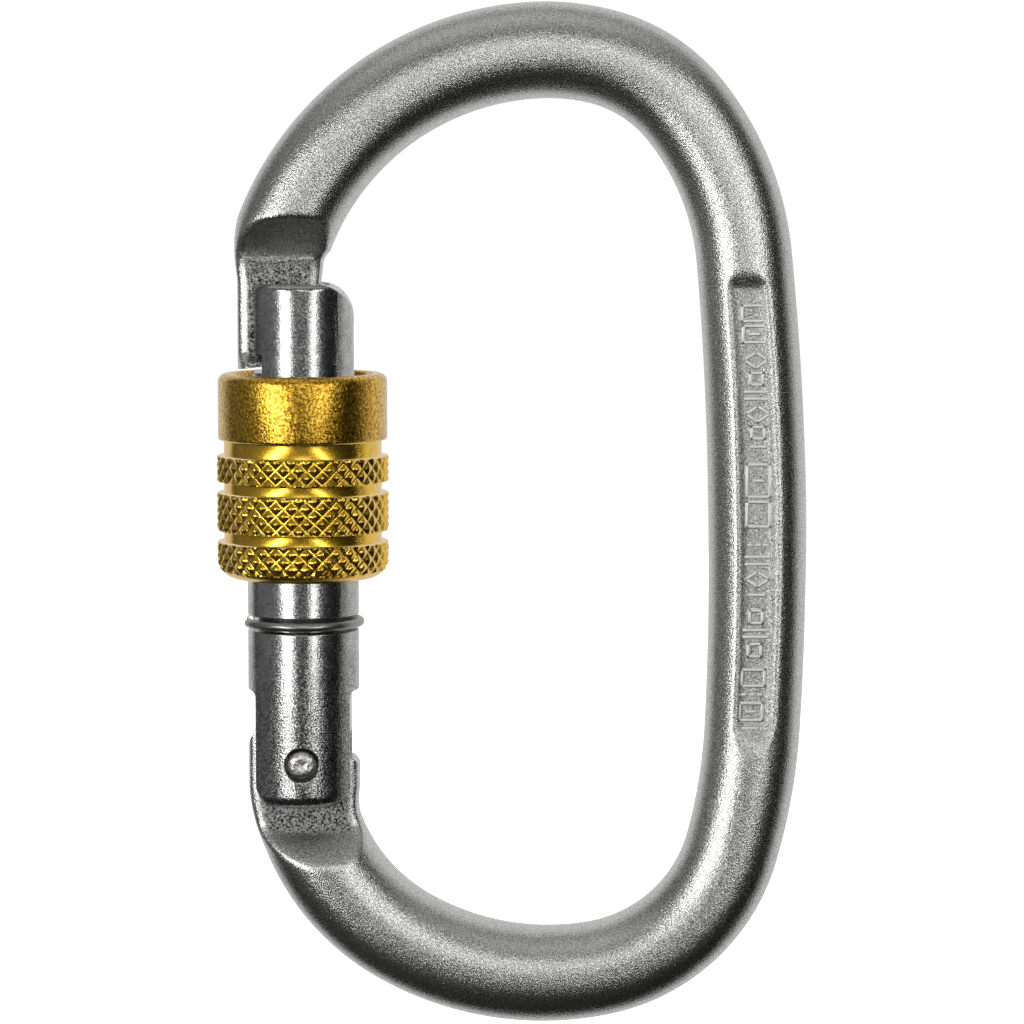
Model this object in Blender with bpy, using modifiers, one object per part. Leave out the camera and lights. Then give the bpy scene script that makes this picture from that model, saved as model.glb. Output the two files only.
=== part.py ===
"""A screw-gate oval carabiner, as separate pieces: forged body, sprung gate, screw sleeve and their small parts.

Metres, +Z up. The carabiner hangs upright: the origin is where a sling bears on the inside of the
top bow, the spine is at +X, and the gate and its sleeve are at -X.
"""

from math import cos, pi, radians, sin, tau

import bmesh
import bpy
from mathutils import Matrix, Vector

# ---------------------------------------------------------------- driving dimensions

# The body's bar: a flattened round, given at its plain middle.
BAR_HALF_WIDTH = 0.00515
BAR_HALF_THICKNESS = 0.0054
BAR_SQUARENESS = 2.25

# The bar's centre line, from the hinge end round the bottom, up the spine and over to the nose.
HINGE_END = (-0.02587, -0.0630)
HINGE_SHANK = 0.0098
HINGE_SHARE = 1.155
# (radius, turn in degrees, share of the bar's plain width at the arc's end)
BAR_ARCS = (
    (0.0134, 20, 1.06),
    (0.0220, 39.5, 1.02),
    (0.0302, 41.5, 0.98),
    (0.0183, 63.5, 0.975),
    (0.0605, 12.5, 0.99),
    (0.3365, 4.25, 1.015),
    (0.3365, 4.25, 0.985),
    (0.0291, 33, 0.985),
    (0.0165, 38, 0.98),
    (0.0238, 16.5, 0.99),
    (0.0300, 66, 1.015),
    (0.0080, 21, 0.915),
)
NOSE_LENGTH = 0.0125
NOSE_SHARE = 0.868

# The hinge rivet, which the gate turns on, and the gate's own axis.
PIVOT_X = -0.02593
PIVOT_Z = -0.06975
RIVET_RADIUS = 0.0016
RIVET_HALF_LENGTH = 0.0060

# The nose: a flat neck with a thicker foot, which the gate's cheeks close over.
NECK_TOP_Z = -0.0170
NECK_FOOT_Z = -0.0269
NECK_HALF_THICKNESS = 0.0019
FOOT_HALF_THICKNESS = 0.0032
FOOT_SHOULDER = 0.00045
FOOT_END_RADIUS = 0.04207
NOSE_RAMP_LENGTH = 0.0046

# The hinge tang: flat on both sides, round about the rivet, with a cam for the plunger.
TANG_HALF_THICKNESS = 0.0023
TANG_RADIUS = 0.00605
TANG_FLAT_END_Z = -0.07695
TANG_RAMP_LENGTH = 0.0032
CAM_LOW_RADIUS = 0.00515
STOP_NOTCH_RADIUS = 0.0046
STOP_SHOULDER_HEIGHT = 0.0002
GATE_OPENING = radians(26)

# The marking recess on each face of the spine.
PANEL_TOP_Z = -0.0194
PANEL_BOTTOM_Z = -0.0656
PANEL_HALF_WIDTH = 0.0020
PANEL_FACE_Y = 0.00455
PANEL_TOP_RAMP = 0.0017
PANEL_BOTTOM_RAMP = 0.0036

# The gate, turned about its own axis.
GATE_TOP_Z = -0.0192
GATE_NECK_RADIUS = 0.00545
GATE_RADIUS = 0.0059
GATE_THREAD_TOP_Z = -0.0295
GATE_CHEEK_TOP_Z = -0.0623
GATE_END_Z = -0.0742
CHEEK_HALF_WIDTH = 0.0050
NECK_CHEEK_OUTER_X = 0.0052
TOP_CORNER_CUT = 0.0037
END_CORNER_CUT = 0.0025
NOSE_SLOT_END_X = 0.0027
HINGE_SLOT_TOP = 0.0068
STOP_WEB_INNER_X = 0.0040
STOP_WEB_FOOT = 0.0028

# The spring and plunger in the gate's bore.
BORE_RADIUS = 0.0018
BORE_TOP_Z = -0.0500
PLUNGER_RADIUS = 0.0014
PLUNGER_LENGTH = 0.0060
SPRING_WIRE = 0.00045
SPRING_RADIUS = 0.00125
SPRING_TURNS = 7

# The stop ring, a round-wire clip in a groove of the gate.
STOP_RING_Z = -0.0551
STOP_RING_WIRE = 0.00095
STOP_RING_RADIUS = 0.0060
STOP_RING_OPENING = radians(34)
STOP_GROOVE_RADIUS = 0.0052

# The lock sleeve.
SLEEVE_TOP_Z = -0.0287
SLEEVE_BOTTOM_Z = -0.0504
HOOD_RADIUS = 0.00895
HOOD_BORE_RADIUS = 0.00735
KNURL_RADIUS = 0.0091
GRIP_GROOVE_RADIUS = 0.00835
# (top, bottom) of each groove between the hood and the three knurled bands
GRIP_GROOVES = ((-0.0357, -0.0374), (-0.0401, -0.0413), (-0.0453, -0.0465))
RIM_ROUND = 0.0009
SLEEVE_THREAD_TOP_Z = -0.0377
SLEEVE_THREAD_END_Z = -0.0458
SLEEVE_SKIRT_RADIUS = 0.0063
BRAKE_GROOVE_Z = -0.0481
BRAKE_GROOVE_RADIUS = 0.0072
BRAKE_RING_HEIGHT = 0.0010
BRAKE_RING_INNER = 0.0061
BRAKE_RING_OUTER = 0.0069

# Gap between pieces that touch, and how finely round shapes are divided.
FIT_GAP = 0.0003
RUNNING_GAP = 0.00015
ROUND_STEPS = 48
BAR_SECTION_POINTS = 28
BAR_STATION_ANGLE = radians(7)
BAR_STATION_LENGTH = 0.0045
CUT_REACH = 0.012

# ---------------------------------------------------------------- scene and helpers


def clear_scene():
    for old in list(bpy.data.objects):
        bpy.data.objects.remove(old, do_unlink=True)


def new_collection(name):
    collection = bpy.data.collections.new(name)
    bpy.context.scene.collection.children.link(collection)
    return collection


def new_material(name, colour, metallic, roughness):
    material = bpy.data.materials.new(name)
    material.use_nodes = True
    surface = material.node_tree.nodes["Principled BSDF"]
    surface.inputs["Base Color"].default_value = (*colour, 1.0)
    surface.inputs["Metallic"].default_value = metallic
    surface.inputs["Roughness"].default_value = roughness
    return material


def new_object(name, data, collection):
    made = bpy.data.objects.new(name, data)
    collection.objects.link(made)
    return made


def as_mesh(made):
    """Turns a curve or a modified mesh into a plain mesh object with its ends welded shut."""
    graph = bpy.context.evaluated_depsgraph_get()
    mesh = bpy.data.meshes.new_from_object(made.evaluated_get(graph))
    shape = bmesh.new()
    shape.from_mesh(mesh)
    bmesh.ops.remove_doubles(shape, verts=shape.verts, dist=1e-6)
    bmesh.ops.recalc_face_normals(shape, faces=shape.faces)
    shape.to_mesh(mesh)
    shape.free()
    name, matrix, collection = made.name, made.matrix_world.copy(), made.users_collection[0]
    bpy.data.objects.remove(made, do_unlink=True)
    result = new_object(name, mesh, collection)
    result.matrix_world = matrix
    return result


def outline_plate(name, points, half_depth, rotation, place):
    """A flat outline, extruded both ways along its own Z, turned and moved to its place."""
    curve = bpy.data.curves.new(name, "CURVE")
    curve.dimensions = "2D"
    curve.fill_mode = "BOTH"
    curve.extrude = half_depth
    spline = curve.splines.new("POLY")
    spline.points.add(len(points) - 1)
    for point, (u, v) in zip(spline.points, points):
        point.co = (u, v, 0, 1)
    spline.use_cyclic_u = True
    plate = new_object(name, curve, cutters)
    plate.rotation_euler = rotation
    plate.location = place
    bpy.context.view_layer.update()
    return as_mesh(plate)


def plate_across_y(name, points, half_depth):
    """An outline drawn in world X and Z."""
    return outline_plate(name, [(x, z) for x, z in points], half_depth, (pi / 2, 0, 0), (0, 0, 0))


def plate_across_x(name, points, centre_x, half_depth):
    """An outline drawn in world Y and Z."""
    return outline_plate(name, points, half_depth, (pi / 2, 0, pi / 2), (centre_x, 0, 0))


def block(name, low, high):
    shape = bmesh.new()
    bmesh.ops.create_cube(shape, size=1.0)
    size = Vector(high) - Vector(low)
    bmesh.ops.scale(shape, vec=size, verts=shape.verts)
    mesh = bpy.data.meshes.new(name)
    shape.to_mesh(mesh)
    shape.free()
    made = new_object(name, mesh, cutters)
    made.location = (Vector(high) + Vector(low)) / 2
    return made


def rod(name, radius, length, centre, along_y=False):
    shape = bmesh.new()
    bmesh.ops.create_cone(
        shape, cap_ends=True, segments=ROUND_STEPS // 2, radius1=radius, radius2=radius, depth=length
    )
    mesh = bpy.data.meshes.new(name)
    shape.to_mesh(mesh)
    shape.free()
    made = new_object(name, mesh, cutters)
    made.location = centre
    made.rotation_euler = (pi / 2, 0, 0) if along_y else (0, 0, 0)
    return made


def turned(name, profile, centre, collection):
    """A profile of (radius, height) points, listed down its outer side, turned about the upright axis."""
    mesh = bpy.data.meshes.new(name)
    points = [(radius, 0, height) for radius, height in profile]
    closed_ring = min(radius for radius, _ in profile) > 0
    count = len(points)
    edges = [(i, i + 1) for i in range(count - 1)]
    if closed_ring:
        edges.append((count - 1, 0))
    mesh.from_pydata(points, edges, [])
    made = new_object(name, mesh, collection)
    made.location = centre
    screw = made.modifiers.new("turn", "SCREW")
    screw.axis = "Z"
    screw.steps = screw.render_steps = ROUND_STEPS
    screw.use_merge_vertices = True
    screw.merge_threshold = 1e-6
    bpy.context.view_layer.update()
    return made


def hide_cutter(cutter):
    cutter.hide_render = True
    cutter.display_type = "WIRE"


def cut(target, *tools):
    for tool in tools:
        hide_cutter(tool)
        boolean = target.modifiers.new("cut_" + tool.name, "BOOLEAN")
        boolean.operation = "DIFFERENCE"
        boolean.object = tool


def smooth(made, angle=radians(35)):
    made.data.shade_smooth()
    made.data.set_sharp_from_angle(angle=angle)


def finish_piece(made, material, parent=None):
    """Gives a piece its material and smooth shading, and hangs it on its empty without moving it."""
    made.data.materials.clear()
    made.data.materials.append(material)
    if made.type == "MESH":
        smooth(made)
    if parent is not None:
        made.parent = parent
        made.matrix_parent_inverse = parent.matrix_world.inverted()


def arc(centre, radius, start, end, steps):
    """Points on an arc in X and Z, from one angle to the other."""
    angles = (start + (end - start) * i / steps for i in range(steps + 1))
    return [(centre[0] + radius * cos(a), centre[1] + radius * sin(a)) for a in angles]


def new_empty(name, place):
    empty = new_object(name, None, parts)
    empty.location = place
    bpy.context.view_layer.update()
    return empty


# ---------------------------------------------------------------- body


def bar_stations():
    """Points of the bar's centre line as (x, z, share of the plain width)."""
    x, z = HINGE_END
    share = HINGE_SHARE
    stations = [(x, z, share), (x, z - HINGE_SHANK / 2, share), (x, z - HINGE_SHANK, share)]
    z -= HINGE_SHANK
    heading = -pi / 2
    for radius, turn_degrees, end_share in BAR_ARCS:
        turn = radians(turn_degrees)
        steps = max(2, round(turn / BAR_STATION_ANGLE), round(radius * turn / BAR_STATION_LENGTH))
        start_x, start_z = x, z
        for i in range(1, steps + 1):
            to = heading + turn * i / steps
            x = start_x + radius * (sin(to) - sin(heading))
            z = start_z - radius * (cos(to) - cos(heading))
            stations.append((x, z, share + (end_share - share) * i / steps))
        heading += turn
        share = end_share
    stations.append((x, z - NOSE_LENGTH / 6, NOSE_SHARE))
    stations.append((x, z - NOSE_LENGTH, NOSE_SHARE))
    return stations


def spine_x(z):
    """The bar's centre on the spine at this height."""
    spine = sorted((sz, sx) for sx, sz, _ in bar_stations() if sx > 0 and PANEL_BOTTOM_Z - 0.01 < sz < -0.01)
    for (low_z, low_x), (high_z, high_x) in zip(spine, spine[1:]):
        if low_z <= z <= high_z:
            return low_x + (high_x - low_x) * (z - low_z) / (high_z - low_z)
    raise ValueError("no bar at this height")


def bar_section():
    """The bar's section, a superellipse with its width along X and its thickness along Y."""
    power = 2 / BAR_SQUARENESS
    curve = bpy.data.curves.new("bar_section", "CURVE")
    curve.dimensions = "2D"
    spline = curve.splines.new("POLY")
    spline.points.add(BAR_SECTION_POINTS - 1)
    for i, point in enumerate(spline.points):
        c, s = cos(tau * i / BAR_SECTION_POINTS), sin(tau * i / BAR_SECTION_POINTS)
        u = BAR_HALF_WIDTH * abs(c) ** power * (1 if c > 0 else -1)
        v = BAR_HALF_THICKNESS * abs(s) ** power * (1 if s > 0 else -1)
        point.co = (u, v, 0, 1)
    spline.use_cyclic_u = True
    section = new_object("bar_section", curve, cutters)
    hide_cutter(section)
    return section


def make_bar():
    section = bar_section()
    curve = bpy.data.curves.new("body", "CURVE")
    curve.dimensions = "3D"
    curve.twist_mode = "Z_UP"
    curve.bevel_mode = "OBJECT"
    curve.bevel_object = section
    curve.use_fill_caps = True
    stations = bar_stations()
    spline = curve.splines.new("POLY")
    spline.points.add(len(stations) - 1)
    for point, (x, z, share) in zip(spline.points, stations):
        point.co = (x, z, 0, 1)
        point.radius = share
    bar = new_object("body", curve, parts)
    bar.rotation_euler = (pi / 2, 0, 0)
    bpy.context.view_layer.update()
    return as_mesh(bar)


def nose_cutter(side):
    """Takes the bar down to the neck and its foot on one face, with a ramp up to the full bar."""
    foot = FOOT_HALF_THICKNESS
    below = NECK_FOOT_Z - 0.004
    outline = [
        (CUT_REACH, NECK_TOP_Z + NOSE_RAMP_LENGTH * (CUT_REACH - NECK_HALF_THICKNESS)
         / (BAR_HALF_THICKNESS - NECK_HALF_THICKNESS)),
        (NECK_HALF_THICKNESS, NECK_TOP_Z),
        (NECK_HALF_THICKNESS, NECK_FOOT_Z),
        (foot, NECK_FOOT_Z - FOOT_SHOULDER),
        (foot, below),
        (CUT_REACH, below),
    ]
    return plate_across_x(f"nose_cutter_{side:+d}", [(side * y, z) for y, z in outline], -0.0285, 0.008)


def nose_end_cutter():
    """Ends the nose on an arc about the rivet, so that the sleeve's rim swings clear of it."""
    start = pi / 2 + 0.19
    end = pi / 2 - 0.10
    top = arc((PIVOT_X, PIVOT_Z), FOOT_END_RADIUS, start, end, 10)
    low = PIVOT_Z + 0.036
    outline = [(top[0][0], low), *top, (top[-1][0], low)]
    return plate_across_y("nose_end_cutter", outline, CUT_REACH)


def tang_cutter(side):
    """Takes one face of the bar down to the flat hinge tang, with a ramp up to the full bar."""
    ramp_slope = TANG_RAMP_LENGTH / (BAR_HALF_THICKNESS - TANG_HALF_THICKNESS)
    outline = [
        (CUT_REACH, -0.060),
        (TANG_HALF_THICKNESS, -0.060),
        (TANG_HALF_THICKNESS, TANG_FLAT_END_Z),
        (CUT_REACH, TANG_FLAT_END_Z - ramp_slope * (CUT_REACH - TANG_HALF_THICKNESS)),
    ]
    return plate_across_x(f"tang_cutter_{side:+d}", [(side * y, z) for y, z in outline], -0.0245, 0.010)


def tang_outline():
    """The tang's top as (angle, radius) about the rivet: round, with the plunger's cam and the stop notch."""
    opened = pi / 2 - GATE_OPENING
    corners = (
        (pi, TANG_RADIUS),
        (radians(125), TANG_RADIUS),
        (radians(108), CAM_LOW_RADIUS),
        (pi / 2, CAM_LOW_RADIUS),
        (opened, TANG_RADIUS),
        (opened - radians(4), TANG_RADIUS),
        (radians(46), STOP_NOTCH_RADIUS),
        (radians(3), STOP_NOTCH_RADIUS),
    )
    points = []
    for (from_angle, from_radius), (to_angle, to_radius) in zip(corners, corners[1:]):
        steps = max(2, round((from_angle - to_angle) / radians(6)))
        for i in range(steps):
            angle = from_angle + (to_angle - from_angle) * i / steps
            radius = from_radius + (to_radius - from_radius) * i / steps
            points.append((PIVOT_X + radius * cos(angle), PIVOT_Z + radius * sin(angle)))
    shoulder = PIVOT_Z + STOP_SHOULDER_HEIGHT
    points.append((PIVOT_X + STOP_NOTCH_RADIUS, shoulder))
    points.append((PIVOT_X + STOP_NOTCH_RADIUS + 0.0007, shoulder))
    points.append((PIVOT_X + TANG_RADIUS, shoulder - 0.0008))
    return points


def tang_top_cutter():
    """Everything round the outside of the tang's top."""
    points = tang_outline()
    left, right = PIVOT_X - CUT_REACH, PIVOT_X + CUT_REACH
    top = PIVOT_Z + CUT_REACH
    outline = [(left, top), (left, points[0][1]), *points, (right, points[-1][1]), (right, top)]
    return plate_across_y("tang_top_cutter", outline, CUT_REACH)


def panel_cutter(side):
    """The shallow marking recess: a flat that follows the spine, with sloped walls and ramped ends."""
    deep = PANEL_FACE_Y
    out = BAR_HALF_THICKNESS + 0.0008
    flare = out - deep
    narrow = 0.7 * PANEL_HALF_WIDTH
    flat_steps = 6
    run = PANEL_BOTTOM_Z - PANEL_TOP_Z
    places = [(PANEL_TOP_Z + PANEL_TOP_RAMP, out, narrow)]
    places += [(PANEL_TOP_Z + run * i / flat_steps, deep, PANEL_HALF_WIDTH) for i in range(flat_steps + 1)]
    places.append((PANEL_BOTTOM_Z - PANEL_BOTTOM_RAMP, out, narrow))
    shape = bmesh.new()
    loops = []
    for z, y, half in places:
        x = spine_x(z)
        wide = half + flare
        ring = ((x - half, y), (x + half, y), (x + wide, out + flare), (x - wide, out + flare))
        loops.append([shape.verts.new((corner_x, side * corner_y, z)) for corner_x, corner_y in ring])
    for upper, lower in zip(loops, loops[1:]):
        for i in range(4):
            shape.faces.new((upper[i], upper[(i + 1) % 4], lower[(i + 1) % 4], lower[i]))
    shape.faces.new(loops[0])
    shape.faces.new(loops[-1])
    bmesh.ops.recalc_face_normals(shape, faces=shape.faces)
    mesh = bpy.data.meshes.new(f"panel_cutter_{side:+d}")
    shape.to_mesh(mesh)
    shape.free()
    return new_object(mesh.name, mesh, cutters)


def make_body(material):
    body = make_bar()
    bore = rod("rivet_bore_in_tang", RIVET_RADIUS + FIT_GAP, 2 * CUT_REACH, (PIVOT_X, 0, PIVOT_Z), along_y=True)
    for side in (1, -1):
        cut(body, nose_cutter(side), tang_cutter(side), panel_cutter(side))
    cut(body, nose_end_cutter(), tang_top_cutter(), bore)
    finish_piece(body, material)


# ---------------------------------------------------------------- gate and what it carries


def make_gate(material, parent):
    edge = 0.0005
    groove_half = STOP_RING_WIRE / 2 + FIT_GAP
    profile = [
        (0, GATE_TOP_Z),
        (GATE_NECK_RADIUS - edge, GATE_TOP_Z),
        (GATE_NECK_RADIUS, GATE_TOP_Z - edge),
        (GATE_NECK_RADIUS, GATE_THREAD_TOP_Z),
        (GATE_RADIUS, GATE_THREAD_TOP_Z - edge),
        (GATE_RADIUS, STOP_RING_Z + groove_half),
        (STOP_GROOVE_RADIUS, STOP_RING_Z + groove_half),
        (STOP_GROOVE_RADIUS, STOP_RING_Z - groove_half),
        (GATE_RADIUS, STOP_RING_Z - groove_half),
        (GATE_RADIUS, GATE_END_Z + 2 * edge),
        (GATE_RADIUS - 2 * edge, GATE_END_Z),
        (0, GATE_END_Z),
    ]
    gate = as_mesh(turned("gate", profile, (PIVOT_X, 0, 0), parts))

    neck_gap = NECK_HALF_THICKNESS + FIT_GAP
    foot_gap = FOOT_HALF_THICKNESS + FIT_GAP
    pocket_top = NECK_FOOT_Z + FIT_GAP
    pocket_floor = PIVOT_Z + FOOT_END_RADIUS - 3 * FIT_GAP
    open_side = PIVOT_X - CUT_REACH
    slot_end = PIVOT_X + NOSE_SLOT_END_X
    neck_slot = block(
        "neck_slot", (open_side, -neck_gap, pocket_floor + FIT_GAP), (slot_end, neck_gap, GATE_TOP_Z + 0.002)
    )
    foot_pocket = block(
        "foot_pocket", (open_side, -foot_gap, pocket_floor), (slot_end + FIT_GAP, foot_gap, pocket_top)
    )

    slot_foot = GATE_END_Z - 0.002
    web_x = PIVOT_X + STOP_WEB_INNER_X
    web_foot = PIVOT_Z + STOP_WEB_FOOT
    inner_side = PIVOT_X + CUT_REACH
    slot_top = PIVOT_Z + HINGE_SLOT_TOP
    slot_outline = [
        (open_side, slot_foot),
        (inner_side, slot_foot),
        (inner_side, web_foot),
        (web_x, web_foot),
        (web_x, slot_top),
        (open_side, slot_top),
    ]
    hinge_slot = plate_across_y("hinge_slot", slot_outline, TANG_HALF_THICKNESS + FIT_GAP)

    cheek_cuts = [
        block(
            f"cheek_cut_{side:+d}",
            (PIVOT_X + min(side * CHEEK_HALF_WIDTH, side * CUT_REACH), -CUT_REACH, slot_foot),
            (PIVOT_X + max(side * CHEEK_HALF_WIDTH, side * CUT_REACH), CUT_REACH, GATE_CHEEK_TOP_Z),
        )
        for side in (1, -1)
    ]
    neck_side_cut = block(
        "neck_side_cut",
        (open_side, -CUT_REACH, GATE_THREAD_TOP_Z + FIT_GAP),
        (PIVOT_X - NECK_CHEEK_OUTER_X, CUT_REACH, GATE_TOP_Z + 0.002),
    )
    inner_x = PIVOT_X + GATE_NECK_RADIUS
    corner = arc((inner_x - TOP_CORNER_CUT, GATE_TOP_Z - TOP_CORNER_CUT), TOP_CORNER_CUT, pi / 2, 0, 8)
    beyond = 0.002
    corner_cut = plate_across_y(
        "top_corner_cut",
        [
            (corner[0][0], GATE_TOP_Z + beyond),
            *corner,
            (inner_x + beyond, corner[-1][1]),
            (inner_x + beyond, GATE_TOP_Z + beyond),
        ],
        CUT_REACH,
    )
    end_corner_cuts = []
    for side in (1, -1):
        centre = (PIVOT_X + side * (CHEEK_HALF_WIDTH - END_CORNER_CUT), GATE_END_Z + END_CORNER_CUT)
        corner = arc(centre, END_CORNER_CUT, pi / 2 - side * pi / 2, pi / 2 - side * pi, 8)
        outer_x = PIVOT_X + side * CUT_REACH
        outline = [(outer_x, corner[0][1]), *corner, (corner[-1][0], slot_foot), (outer_x, slot_foot)]
        end_corner_cuts.append(plate_across_y(f"end_corner_cut_{side:+d}", outline, CUT_REACH))
    bore_foot = slot_top - 0.001
    spring_bore = rod(
        "spring_bore", BORE_RADIUS, BORE_TOP_Z - bore_foot, (PIVOT_X, 0, (BORE_TOP_Z + bore_foot) / 2)
    )
    rivet_hole = rod(
        "rivet_hole_in_cheeks", RIVET_RADIUS + RUNNING_GAP, 2 * CUT_REACH, (PIVOT_X, 0, PIVOT_Z), along_y=True
    )
    cut(gate, neck_slot, foot_pocket, hinge_slot, *cheek_cuts, neck_side_cut, corner_cut)
    cut(gate, *end_corner_cuts)
    cut(gate, spring_bore, rivet_hole)
    finish_piece(gate, material, parent)


def make_rivet(material, parent):
    dome = 0.0005
    profile = [
        (0, RIVET_HALF_LENGTH),
        (RIVET_RADIUS * 0.62, RIVET_HALF_LENGTH - dome * 0.25),
        (RIVET_RADIUS, RIVET_HALF_LENGTH - dome),
        (RIVET_RADIUS, dome - RIVET_HALF_LENGTH),
        (RIVET_RADIUS * 0.62, dome * 0.25 - RIVET_HALF_LENGTH),
        (0, -RIVET_HALF_LENGTH),
    ]
    rivet = turned("hinge_rivet", profile, (PIVOT_X, 0, PIVOT_Z), parts)
    rivet.rotation_euler = (pi / 2, 0, 0)
    bpy.context.view_layer.update()
    finish_piece(rivet, material, parent)


def plunger_foot_z():
    return PIVOT_Z + CAM_LOW_RADIUS + FIT_GAP


def make_plunger(material, parent):
    foot = plunger_foot_z()
    tip_steps = 5
    tip_centre = foot + PLUNGER_RADIUS
    profile = [(0, foot + PLUNGER_LENGTH), (PLUNGER_RADIUS, foot + PLUNGER_LENGTH)]
    for i in range(tip_steps + 1):
        angle = pi / 2 * i / tip_steps
        profile.append((PLUNGER_RADIUS * cos(angle), tip_centre - PLUNGER_RADIUS * sin(angle)))
    profile[-1] = (0, foot)
    plunger = turned("spring_plunger", profile, (PIVOT_X, 0, 0), parts)
    finish_piece(plunger, material, parent)


def make_spring(material, parent):
    """A compression spring between the bore's end and the plunger."""
    low = plunger_foot_z() + PLUNGER_LENGTH + FIT_GAP + SPRING_WIRE / 2
    high = BORE_TOP_Z - FIT_GAP - SPRING_WIRE / 2
    steps_per_turn = 12
    count = SPRING_TURNS * steps_per_turn
    curve = bpy.data.curves.new("gate_spring", "CURVE")
    curve.dimensions = "3D"
    curve.bevel_depth = SPRING_WIRE / 2
    curve.bevel_resolution = 2
    curve.use_fill_caps = True
    spline = curve.splines.new("POLY")
    spline.points.add(count)
    for i, point in enumerate(spline.points):
        angle = tau * i / steps_per_turn
        height = low + (high - low) * i / count
        point.co = (SPRING_RADIUS * cos(angle), SPRING_RADIUS * sin(angle), height, 1)
    spring = new_object("gate_spring", curve, parts)
    spring.location = (PIVOT_X, 0, 0)
    bpy.context.view_layer.update()
    finish_piece(spring, material, parent)


def make_stop_ring(material, parent):
    """A round-wire clip, open on the gate's outer side."""
    curve = bpy.data.curves.new("stop_ring", "CURVE")
    curve.dimensions = "3D"
    curve.bevel_depth = STOP_RING_WIRE / 2
    curve.bevel_resolution = 2
    curve.use_fill_caps = True
    steps = 36
    start = pi + STOP_RING_OPENING / 2
    run = tau - STOP_RING_OPENING
    spline = curve.splines.new("POLY")
    spline.points.add(steps)
    for i, point in enumerate(spline.points):
        angle = start + run * i / steps
        point.co = (STOP_RING_RADIUS * cos(angle), STOP_RING_RADIUS * sin(angle), 0, 1)
    ring = new_object("stop_ring", curve, parts)
    ring.location = (PIVOT_X, 0, STOP_RING_Z)
    bpy.context.view_layer.update()
    finish_piece(ring, material, parent)


# ---------------------------------------------------------------- sleeve


def sleeve_profile():
    """Down the outside from the hood's rim to the foot, then up the stepped bore."""
    chamfer = 0.0006
    outer = [
        (HOOD_BORE_RADIUS + chamfer, SLEEVE_TOP_Z),
        (HOOD_RADIUS - RIM_ROUND, SLEEVE_TOP_Z),
        (HOOD_RADIUS - RIM_ROUND * 0.3, SLEEVE_TOP_Z - RIM_ROUND * 0.3),
        (HOOD_RADIUS, SLEEVE_TOP_Z - RIM_ROUND),
    ]
    radius = HOOD_RADIUS
    for top, bottom in GRIP_GROOVES:
        outer += [
            (radius, top),
            (GRIP_GROOVE_RADIUS, top),
            (GRIP_GROOVE_RADIUS, bottom),
            (KNURL_RADIUS, bottom),
        ]
        radius = KNURL_RADIUS
    foot_round = 1.4 * RIM_ROUND
    outer += [
        (KNURL_RADIUS, SLEEVE_BOTTOM_Z + foot_round),
        (KNURL_RADIUS - foot_round * 0.3, SLEEVE_BOTTOM_Z + foot_round * 0.3),
        (KNURL_RADIUS - foot_round, SLEEVE_BOTTOM_Z),
    ]
    thread_bore = GATE_RADIUS + RUNNING_GAP
    groove_half = BRAKE_RING_HEIGHT / 2 + 0.0002
    step = 0.0008
    inner = [
        (SLEEVE_SKIRT_RADIUS, SLEEVE_BOTTOM_Z),
        (SLEEVE_SKIRT_RADIUS, BRAKE_GROOVE_Z - groove_half),
        (BRAKE_GROOVE_RADIUS, BRAKE_GROOVE_Z - groove_half),
        (BRAKE_GROOVE_RADIUS, BRAKE_GROOVE_Z + groove_half),
        (SLEEVE_SKIRT_RADIUS, BRAKE_GROOVE_Z + groove_half),
        (SLEEVE_SKIRT_RADIUS, SLEEVE_THREAD_END_Z - step),
        (thread_bore, SLEEVE_THREAD_END_Z),
        (thread_bore, SLEEVE_THREAD_TOP_Z - step),
        (HOOD_BORE_RADIUS, SLEEVE_THREAD_TOP_Z),
        (HOOD_BORE_RADIUS, SLEEVE_TOP_Z - chamfer),
    ]
    return outer + inner


def make_sleeve(material, parent):
    finish_piece(turned("lock_sleeve", sleeve_profile(), (PIVOT_X, 0, 0), parts), material, parent)


def make_brake_ring(material, parent):
    """A soft ring in the sleeve's bore that keeps the screw from working loose."""
    half = BRAKE_RING_HEIGHT / 2
    bevel = 0.00025
    profile = [
        (BRAKE_RING_OUTER - bevel, half),
        (BRAKE_RING_OUTER, half - bevel),
        (BRAKE_RING_OUTER, bevel - half),
        (BRAKE_RING_OUTER - bevel, -half),
        (BRAKE_RING_INNER + bevel, -half),
        (BRAKE_RING_INNER, bevel - half),
        (BRAKE_RING_INNER, half - bevel),
        (BRAKE_RING_INNER + bevel, half),
    ]
    ring = turned("sleeve_brake_ring", profile, (PIVOT_X, 0, BRAKE_GROOVE_Z), parts)
    finish_piece(ring, material, parent)


# ---------------------------------------------------------------- assembly

clear_scene()
parts = new_collection("screw_gate_carabiner")
cutters = new_collection("cutters")

tumbled_aluminium = new_material("tumbled_aluminium", (0.62, 0.62, 0.60), 1.0, 0.33)
machined_aluminium = new_material("machined_aluminium", (0.55, 0.55, 0.54), 1.0, 0.20)
gold_anodised = new_material("gold_anodised", (0.72, 0.47, 0.09), 1.0, 0.28)
bright_steel = new_material("bright_steel", (0.56, 0.55, 0.53), 1.0, 0.25)
spring_steel = new_material("spring_steel", (0.35, 0.34, 0.33), 1.0, 0.30)
brake_nylon = new_material("brake_nylon", (0.05, 0.05, 0.05), 0.0, 0.50)

gate_pivot = new_empty("gate_pivot", (PIVOT_X, 0, PIVOT_Z))
sleeve_axis = new_empty("sleeve_axis", (PIVOT_X, 0, SLEEVE_BOTTOM_Z))
sleeve_axis.parent = gate_pivot
sleeve_axis.matrix_parent_inverse = gate_pivot.matrix_world.inverted()
bpy.context.view_layer.update()

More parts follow.
